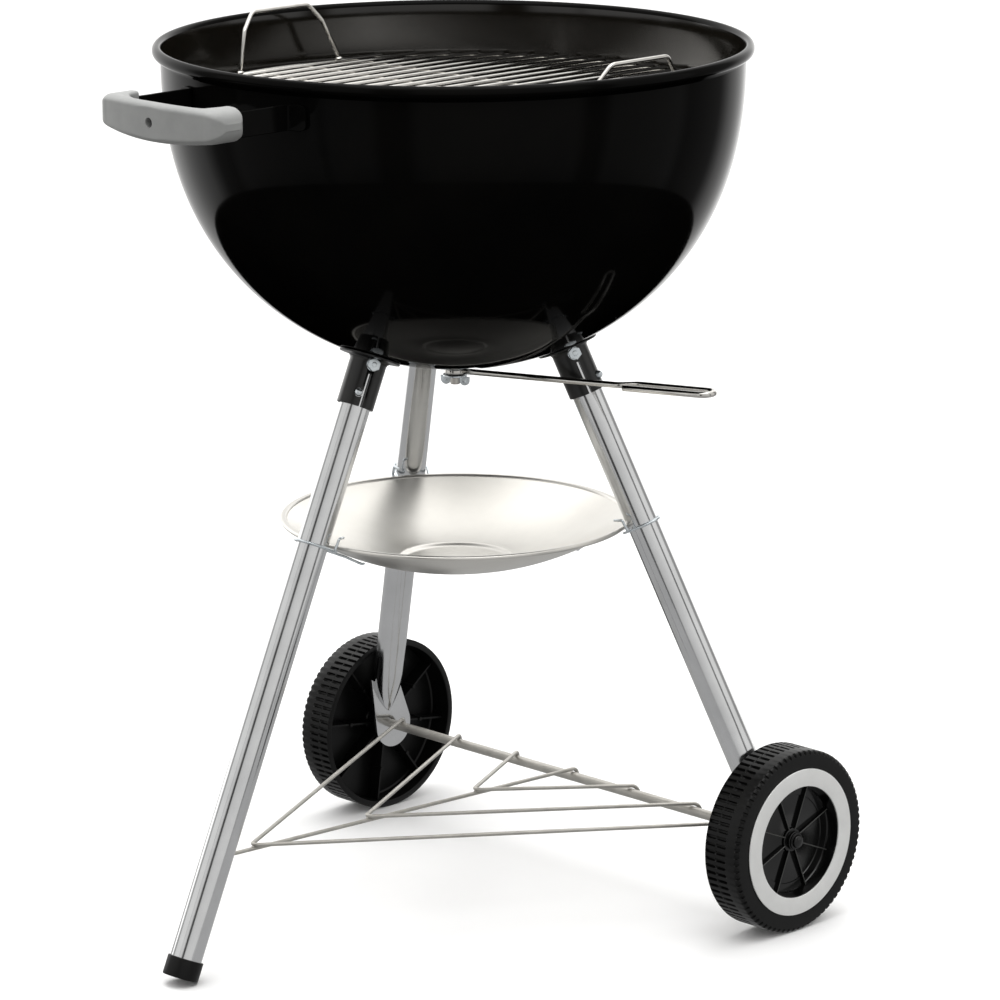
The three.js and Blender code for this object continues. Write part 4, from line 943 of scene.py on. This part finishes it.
def spokes():
    """The ribs in the recess, and the ribs and moulding pins on the back of the web."""
    outwards = Matrix(((0, 0, 1, 0), (1, 0, 0, 0), (0, 1, 0, 0), (0, 0, 0, 1)))
    front_rib = [(x, z + FACE_RECESS - 0.8) for x, z in [(-0.6, 0), (0.6, 0)] + arc(0, 2.9, 0.55, 0, 180, 8)]
    back_rib = [(x, z + WEB_BACK + 0.3) for x, z in ((-1.1, 0), (-0.8, -13.6), (0.8, -13.6), (1.1, 0))]
    pin_end = WEB_BACK - 14.6
    pin = lathe(rounded([(0, WEB_BACK), (1.9, WEB_BACK), (1.7, pin_end), (0, pin_end)], 0.4), 16)
    parts = []
    for k in range(WHEEL_RIBS):
        angle = 360 / WHEEL_RIBS * k
        behind = turn(angle + BACK_RIB_TURN)
        parts.append(slab(front_rib, 9, 45.2, 0.05, 1).at(turn(RIB_TURN + angle), outwards))
        parts.append(slab(back_rib, 9.5, 70, 0.2, 1).at(behind, outwards))
        parts.append(pin.at(behind, move(42, 0, 0)))
    return parts


def wheel_finish_and_painted_highlight(face):
    """Which of the tyre's materials a face has: dull outside, glossy in the recess, and a lighter
    grey on its rib tops as a painted highlight.
    """
    x, y, z = face.center / MM
    radius = math.hypot(x - AXLE_X, z - WHEEL_RADIUS)
    if HUB_CLEAR < radius < TRIM_INNER - 3 and abs(y) > FACE_RECESS + 2.2:
        return 2
    return int(radius < TRIM_INNER + 0.3 and abs(y) > FACE_RECESS - 1)


def wheel(name, side):
    profile = tread_profile() + face_profile() + back_profile()
    body = lathe(profile, TREAD_RIBS * TREAD_STEPS, closed=True, radial=tyre_radii)
    tyre = piece("black_plastic", f"wheel_{name}", joined([body] + spokes()).at(on_axle(side)), sharp=32,
                 finishes=["black_plastic", "plastic_gloss", "plastic_rib_painted_highlight"])
    for face in tyre.data.polygons:
        face.material_index = wheel_finish_and_painted_highlight(face)
    low, high = WHEEL_OUTER + 0.05, WHEEL_OUTER + 0.05 + TRIM_HEIGHT
    trim = rounded([(TRIM_INNER, low), (TRIM_OUTER, low), (TRIM_OUTER, high), (TRIM_INNER, high),
                    (TRIM_INNER, low)], 0.35)
    piece("trim_white", f"wheel_trim_{name}", lathe(trim[:-1], 192, closed=True).at(on_axle(side)))
    room, edge = AXLE_HALF + GAP, FACE_RECESS + 6.1
    cap = rounded([(0, room - 0.1), (4.4, room - 0.1), (4.4, edge), (6.9, edge), (6.9, edge + 1),
                   (5.6, edge + 1.1), (5.3, room + 1.2), (0, room + 2.5)], [0, 0, 0, 0.2, 0.3, 0.4, 2.2, 0])
    shape = lathe(cap, 48).at(on_axle(side))
    piece("black_plastic", f"hub_cap_{name}", shape, finishes=["plastic_gloss"])


axle()
wheel("left", -1)
wheel("right", 1)

# ---------------------------------------------------------------- bottom rack


def hook(y, slant):
    points = []
    for a in np.radians(np.linspace(215, 90, 16)):
        dx = HOOK_RADIUS * math.cos(a)
        points.append(Vector((AXLE_X + dx, y + dx * slant, WHEEL_RADIUS + HOOK_RADIUS * math.sin(a))))
    return points


def rack():
    top = WHEEL_RADIUS + HOOK_RADIUS
    end = Vector((RACK_END_X, 0, RACK_END_Z))
    piece("rack_wire", "rack_spine", wire(hook(0, 0) + [end], RACK_WIRE), sharp=50)
    for name, apex_x, hook_y in RACK_WIRES:
        slant = hook_y / (AXLE_X - apex_x)
        share = (apex_x - AXLE_X) / (RACK_END_X - AXLE_X)
        apex = Vector((apex_x, 0, top + (RACK_END_Z - top) * share + 2 * RACK_WIRE + GAP))
        start, stop = hook(hook_y, slant), list(reversed(hook(-hook_y, -slant)))
        corner = bent([start[-1], apex, stop[0]], 4, 12)[1:-1]
        weld = ball(apex.x - 3.4, 0, apex.z - RACK_WIRE - 0.1, 2.2, 1.4, 0.9)
        piece("rack_wire", name, wire(start + corner + stop, RACK_WIRE) + weld, sharp=50)


rack()

# ---------------------------------------------------------------- ash pan and clips


def pan_height(r):
    share = max((r - PAN_STEP) / (PAN_WALL - PAN_STEP), 0)
    foot = PAN_FLOOR_Z + PAN_STEP_HEIGHT
    return foot + (PAN_RIM_Z - 2 - foot) * share ** 1.6


def ash_pan():
    """A shallow dish with a flat floor, a pressed step round it and a rim curled under."""
    wall = [(r, pan_height(r)) for r in np.linspace(PAN_STEP + 1, PAN_WALL, 30)]
    bead, floor_edge = PAN_RADIUS - PAN_BEAD, PAN_STEP - 3.5
    top = [(0, PAN_FLOOR_Z)]
    top += rounded([(2, PAN_FLOOR_Z), (floor_edge, PAN_FLOOR_Z), wall[0], wall[1]], [0, 2, 2, 0])
    top += wall[2:]
    top += [(PAN_WALL + dr, PAN_RIM_Z + dz) for dr, dz in ((0.35, -0.9), (1, -0.2), (1.8, 0))]
    curl = arc(bead, PAN_RIM_Z - PAN_BEAD, PAN_BEAD, 90, -95, 14)
    under = [(bead - 1, PAN_RIM_Z - 2.4), (PAN_WALL + 1.6, PAN_RIM_Z - 1.7)]
    below = [(r + 0.4, z - PAN_SHEET) for r, z in reversed(wall)]
    below += [(floor_edge, PAN_FLOOR_Z - PAN_SHEET), (0, PAN_FLOOR_Z - PAN_SHEET)]
    piece("pan_aluminium", "ash_pan", lathe(top + curl + under + below, 192), sharp=30)


def clip(leg):
    """A spring wire round the leg, with a long arm under the pan's rim and a short one hooked over it."""
    tilt = math.atan(leg["slope"])
    wire_z = PAN_RIM_Z - 2 * PAN_BEAD - CLIP_WIRE / math.cos(tilt) - 0.4
    reach = PAN_RADIUS - PAN_BEAD - LEG_REF_RADIUS
    z = (wire_z - LEG_REF_Z - reach * math.tan(tilt)) * math.cos(tilt)
    around = [(x, y, z) for x, y in arc(0, 0, LEG_RADIUS + CLIP_WIRE + GAP + 0.2, -90, 90, 20)]
    long_line, short_line = ([(x, y, z + up) for x, y, up in arm] for arm in (CLIP_LONG_ARM, CLIP_SHORT_ARM))
    long_arm = bent(long_line + [around[0]], 2.5, 12)[:-1]
    short_arm = bent([around[-1]] + short_line, 1.6, 12)[1:]
    points = [(p[0], p[1] * leg["mirror"], p[2]) for p in long_arm + around + short_arm]
    piece("zinc", f"pan_clip_{leg['end']}", wire(points, CLIP_WIRE, 12).at(leg_matrix(leg)), sharp=50)


ash_pan()
for leg in LEGS:
    clip(leg)

# ---------------------------------------------------------------- ash sweep


def sweep_hub():
    low, disc, top = LEVER_Z - 11, FLOOR_Z + CLEARANCE + 0.4, FLOOR_Z + 4
    profile = rounded([(0, low), (SHAFT_RADIUS, low), (SHAFT_RADIUS, disc - 0.4), (HUB_DISC, disc),
                       (HUB_DISC, top), (5, top), (4.4, top + 1), (0, top + 1.2)],
                      [0, 0.8, 0, 0.4, 0.6, 0.6, 0.6, 0])
    rivets = [ball(9.5 * math.cos(a), 9.5 * math.sin(a), top, 2, 2, 0.9) for a in np.radians(BLADE_AZIMUTHS)]
    piece("sweep_aluminium", "sweep_hub", joined([lathe(profile, 48)] + rivets))


def sweep_blade(number, azimuth):
    """A sheet blade that follows the bowl's wall, narrow at the hub and rounded at its tip."""
    lift = -BOWL_WALL - CLEARANCE - BLADE_SHEET / 2
    shares = np.linspace(bowl_share(HUB_DISC + GAP + 0.1), bowl_share(BLADE_END), 28)
    points = [Vector((p[0], 0, p[1])) for p in (bowl_point(t, lift) for t in shares)]
    section = strip_section(BLADE_HALF, BLADE_SHEET / 2, 0.3, 0.2)
    widths = [min(1, 0.55 + 0.5 * smooth(i, 0, 9)) for i in range(25)] + [0.98, 0.9, 0.72]
    blade = flat_sweep(points, section, [(width, 1) for width in widths])
    piece("sweep_aluminium", f"sweep_blade_{number}", blade.at(turn(azimuth)))


def sweep_lever():
    """The lever: an eye on the shaft, and a wire that bends back on itself into a long loop."""
    bore, top, bottom = SHAFT_RADIUS + 0.5, LEVER_Z + LEVER_WIRE, LEVER_Z - LEVER_WIRE
    outline = [(bore, LEVER_Z), (bore, top), (EYE_RADIUS, top), (EYE_RADIUS, bottom), (bore, bottom),
               (bore, LEVER_Z - 0.1)]
    eye = lathe(rounded(outline, 1.8, 5), 48, closed=True)

    def at(x, y):
        return Vector((x, y, LEVER_Z + (LEVER_END_Z - LEVER_Z) * x / LEVER_END))

    jog, tip = LOOP_START + 14, LEVER_END - LEVER_HALF
    arm = bent([at(7.5, 0), at(LOOP_START, 0), at(jog, LEVER_HALF), at(tip, LEVER_HALF)], 12, 6)
    bend = [at(x, y) for x, y in arc(tip, 0, LEVER_HALF, 84, -90, 20)]
    points = arm + bend + [at(jog - 6, -LEVER_HALF)]
    lever = eye + wire(points, LEVER_WIRE, 18)
    piece("wire_chrome", "sweep_lever", lever.at(turn(LEVER_AZIMUTH)), sharp=45)


def wing_nut():
    top, bore = LEVER_Z - LEVER_WIRE - GAP, SHAFT_RADIUS + 0.4
    bottom, half = top - NUT_SHEET, NUT_SHEET / 2
    plate = lathe(rounded([(bore, top - half), (bore, top), (NUT_RADIUS, top), (NUT_RADIUS, bottom),
                           (bore, bottom), (bore, top - half - 0.1)], 0.4), 48, closed=True)
    boss = lathe(rounded([(bore, top - 1), (6.2, top - 1), (5.8, top - 5.5), (bore, top - 5.5),
                          (bore, top - 1.1)], 0.5), 36, closed=True)
    outline = arc(0, 0, 4.6, 180, 360, 20) + [(4.2, 3.2), (-4.2, 3.2)]
    ear = slab(outline, -half, half, 0.4, 3)
    ears = [ear.at(move(side * 8.2, 0, top - 4.4), turn(side * 10, "Y"), turn(90, "X")) for side in (-1, 1)]
    turned = turn(LEVER_AZIMUTH + NUT_TURN)
    dent = ball(8.4, -half - 0.9, top - 5, 1.6, 1.2, 1.6, 16)
    piece("zinc", "sweep_wing_nut", joined([plate, boss] + ears).at(turned), [dent.at(turned)])


def washer():
    low, bore = LEVER_Z + LEVER_WIRE + 0.4 + GAP, SHAFT_RADIUS + 0.5
    high = low + 1.4
    profile = rounded([(bore, low + 0.7), (bore, high), (WASHER_RADIUS, high), (WASHER_RADIUS, low),
                       (bore, low), (bore, low + 0.6)], 0.35)
    piece("zinc", "sweep_washer", lathe(profile, 60, closed=True))


sweep_hub()
for number, azimuth in enumerate(BLADE_AZIMUTHS, 1):
    sweep_blade(number, azimuth)
sweep_lever()
wing_nut()
washer()

# ---------------------------------------------------------------- studio


FLOOR_RADIUS, GLOW_RADIUS, GLOW = 20, 1.3, 0.5
# Brightness round the horizon, from the camera's side (0) both ways round to the back (180).
LEFT_TO_RIGHT = (
    (-180, 1.2), (-160, 1.5), (-146, 2.0), (-122, 2.0), (-112, 0.5), (-103, 0.4), (-97, 0.95), (-56, 1.0),
    (-53, 0.5), (-50, 0.95), (-33, 0.8), (-28, 0.04), (-18, 0.04), (-13, 0.75), (50, 0.95), (55, 0.15),
    (61, 0.15), (66, 1.0), (100, 0.95), (106, 0.4), (130, 0.4), (140, 1.4), (164, 2.0), (180, 1.2),
)
# Brightness by height: the sine of the angle above the horizon.
UP_AND_DOWN = (
    (-1.0, 0.03), (-0.62, 0.05), (-0.42, 0.75), (-0.05, 0.9), (0.3, 1.0), (0.5, 0.85), (0.75, 1.2),
    (1.0, 1.5),
)
CAMERA_AZIMUTH, CAMERA_DOWN, CAMERA_ROLL, LENS = 45.4739, 13.7604, 0.1740, 175.022
CAMERA_PLACE = (2.67361841, 2.76956272, 1.28237069)


def ground_sheet(name, radius, z, segments, paint):
    """A flat round sheet on the ground, not seen by diffuse rays."""
    angles = np.linspace(0, 2 * math.pi, segments, endpoint=False)
    mesh = bpy.data.meshes.new(name)
    mesh.from_pydata([(radius * math.cos(a), radius * math.sin(a), z) for a in angles], [],
                     [tuple(range(segments))])
    mesh.materials.append(paint)
    sheet = added(name, mesh)
    sheet.visible_diffuse = False
    return sheet


def floor():
    paint = material("floor_paper", (0.93, 0.93, 0.93), (0.925, 0.925, 0.925), (0.9, 0.95),
                     specular=0.1, strength=0.0)
    ground_sheet("floor", FLOOR_RADIUS, -0.0002, 96, paint).visible_glossy = False


def floor_glow():
    """The lit floor as bare metal and plastic mirror it; the enamel mirrors a dark one."""
    shine = bpy.data.materials.new("floor_glow")
    shine.use_nodes = True
    shader = shine.node_tree.nodes["Principled BSDF"]
    shader.inputs["Base Color"].default_value = (0, 0, 0, 1)
    shader.inputs["Specular IOR Level"].default_value = 0
    shader.inputs["Emission Color"].default_value = (1, 1, 1, 1)
    cloud = node(shine.node_tree, "ShaderNodeTexNoise", Scale=2.0)
    spread = node(shine.node_tree, "ShaderNodeMapRange", To_Min=GLOW * 0.9, To_Max=GLOW * 1.1)
    shine.node_tree.links.new(cloud.outputs["Fac"], spread.inputs["Value"])
    shine.node_tree.links.new(spread.outputs["Result"], shader.inputs["Emission Strength"])
    sheet = ground_sheet("floor_glow", GLOW_RADIUS, -0.0001, 64, shine)
    sheet.visible_camera = False
    sheet.visible_shadow = False
    lit = bpy.data.collections.new("floor_glow_on")
    for other in bpy.context.scene.collection.objects:
        paints = other.data.materials if other.type == "MESH" else None
        if paints and not paints[0].name.startswith("enamel_black"):
            lit.objects.link(other)
    sheet.light_linking.receiver_collection = lit


def studio():
    """The world's light: soft panels round the object and above it, and white paper behind it."""
    world = bpy.data.worlds.new("studio")
    bpy.context.scene.world = world
    world.use_nodes = True
    tree = world.node_tree
    tree.nodes.clear()
    link = tree.links.new

    def maths(kind, a, b):
        made = tree.nodes.new("ShaderNodeMath")
        made.operation = kind
        for slot, value in zip(made.inputs, (a, b)):
            if isinstance(value, (int, float)):
                slot.default_value = value
            else:
                link(value, slot)
        return made.outputs[0]

    def ramp(source, stops):
        made = tree.nodes.new("ShaderNodeValToRGB")
        elements = made.color_ramp.elements
        while len(elements) < len(stops):
            elements.new(0.5)
        for element, (place, value) in zip(elements, stops):
            element.position = place
            element.color = (value, value, value, 1)
        link(source, made.inputs["Fac"])
        return made.outputs["Color"]

    place = node(tree, "ShaderNodeTexCoord")
    split = node(tree, "ShaderNodeSeparateXYZ")
    link(place.outputs["Generated"], split.inputs["Vector"])
    x, y, z = split.outputs
    c, s = math.cos(math.radians(CAMERA_AZIMUTH)), math.sin(math.radians(CAMERA_AZIMUTH))
    ahead = maths("ADD", maths("MULTIPLY", x, c), maths("MULTIPLY", y, s))
    across = maths("ADD", maths("MULTIPLY", x, -s), maths("MULTIPLY", y, c))
    share = maths("ADD", maths("DIVIDE", maths("ARCTAN2", across, ahead), 2 * math.pi), 0.5)
    round_stops = [((a + 180) / 360, v / 2) for a, v in LEFT_TO_RIGHT]
    up_stops = [((h + 1) / 2, v / 2) for h, v in UP_AND_DOWN]
    around = ramp(share, round_stops)
    above = maths("ADD", maths("DIVIDE", z, 2), 0.5)
    height = ramp(above, up_stops)
    overhead = ramp(above, [(0.0, 0), (0.72, 0), (0.84, 1), (1.0, 1)])
    level = maths("MAXIMUM", maths("MULTIPLY", around, 2), overhead)
    light = maths("MULTIPLY", level, maths("MULTIPLY", height, 2))
    studio_light = node(tree, "ShaderNodeBackground", Color=(1, 0.995, 0.985, 1))
    link(light, studio_light.inputs["Strength"])
    paper = node(tree, "ShaderNodeBackground", Color=(1, 1, 1, 1))
    path = node(tree, "ShaderNodeLightPath")
    mix = node(tree, "ShaderNodeMixShader")
    link(path.outputs["Is Camera Ray"], mix.inputs["Fac"])
    link(studio_light.outputs[0], mix.inputs[1])
    link(paper.outputs[0], mix.inputs[2])
    output = node(tree, "ShaderNodeOutputWorld")
    link(mix.outputs[0], output.inputs["Surface"])


def area_light(name, place, target, size, power):
    data = bpy.data.lights.new(name, "AREA")
    data.shape = "RECTANGLE"
    data.size, data.size_y = size
    data.energy = power
    lamp = added(name, data)
    lamp.location = place
    lamp.rotation_euler = (Vector(target) - Vector(place)).to_track_quat("-Z", "Y").to_euler()


def camera():
    data = bpy.data.cameras.new("camera")
    data.lens, data.sensor_width, data.clip_end = LENS, 36, 60
    turned = turn(CAMERA_AZIMUTH + 90) @ turn(90 - CAMERA_DOWN, "X") @ turn(-CAMERA_ROLL)
    obj = added("camera", data)
    obj.matrix_world = move(*CAMERA_PLACE) @ turned
    bpy.context.scene.camera = obj


bpy.context.scene.view_settings.view_transform = "Standard"
floor()
floor_glow()
studio()
area_light("overhead", (0.2, 0.2, 2.6), (0, 0, 0.3), (2.2, 2.2), 32)
camera()
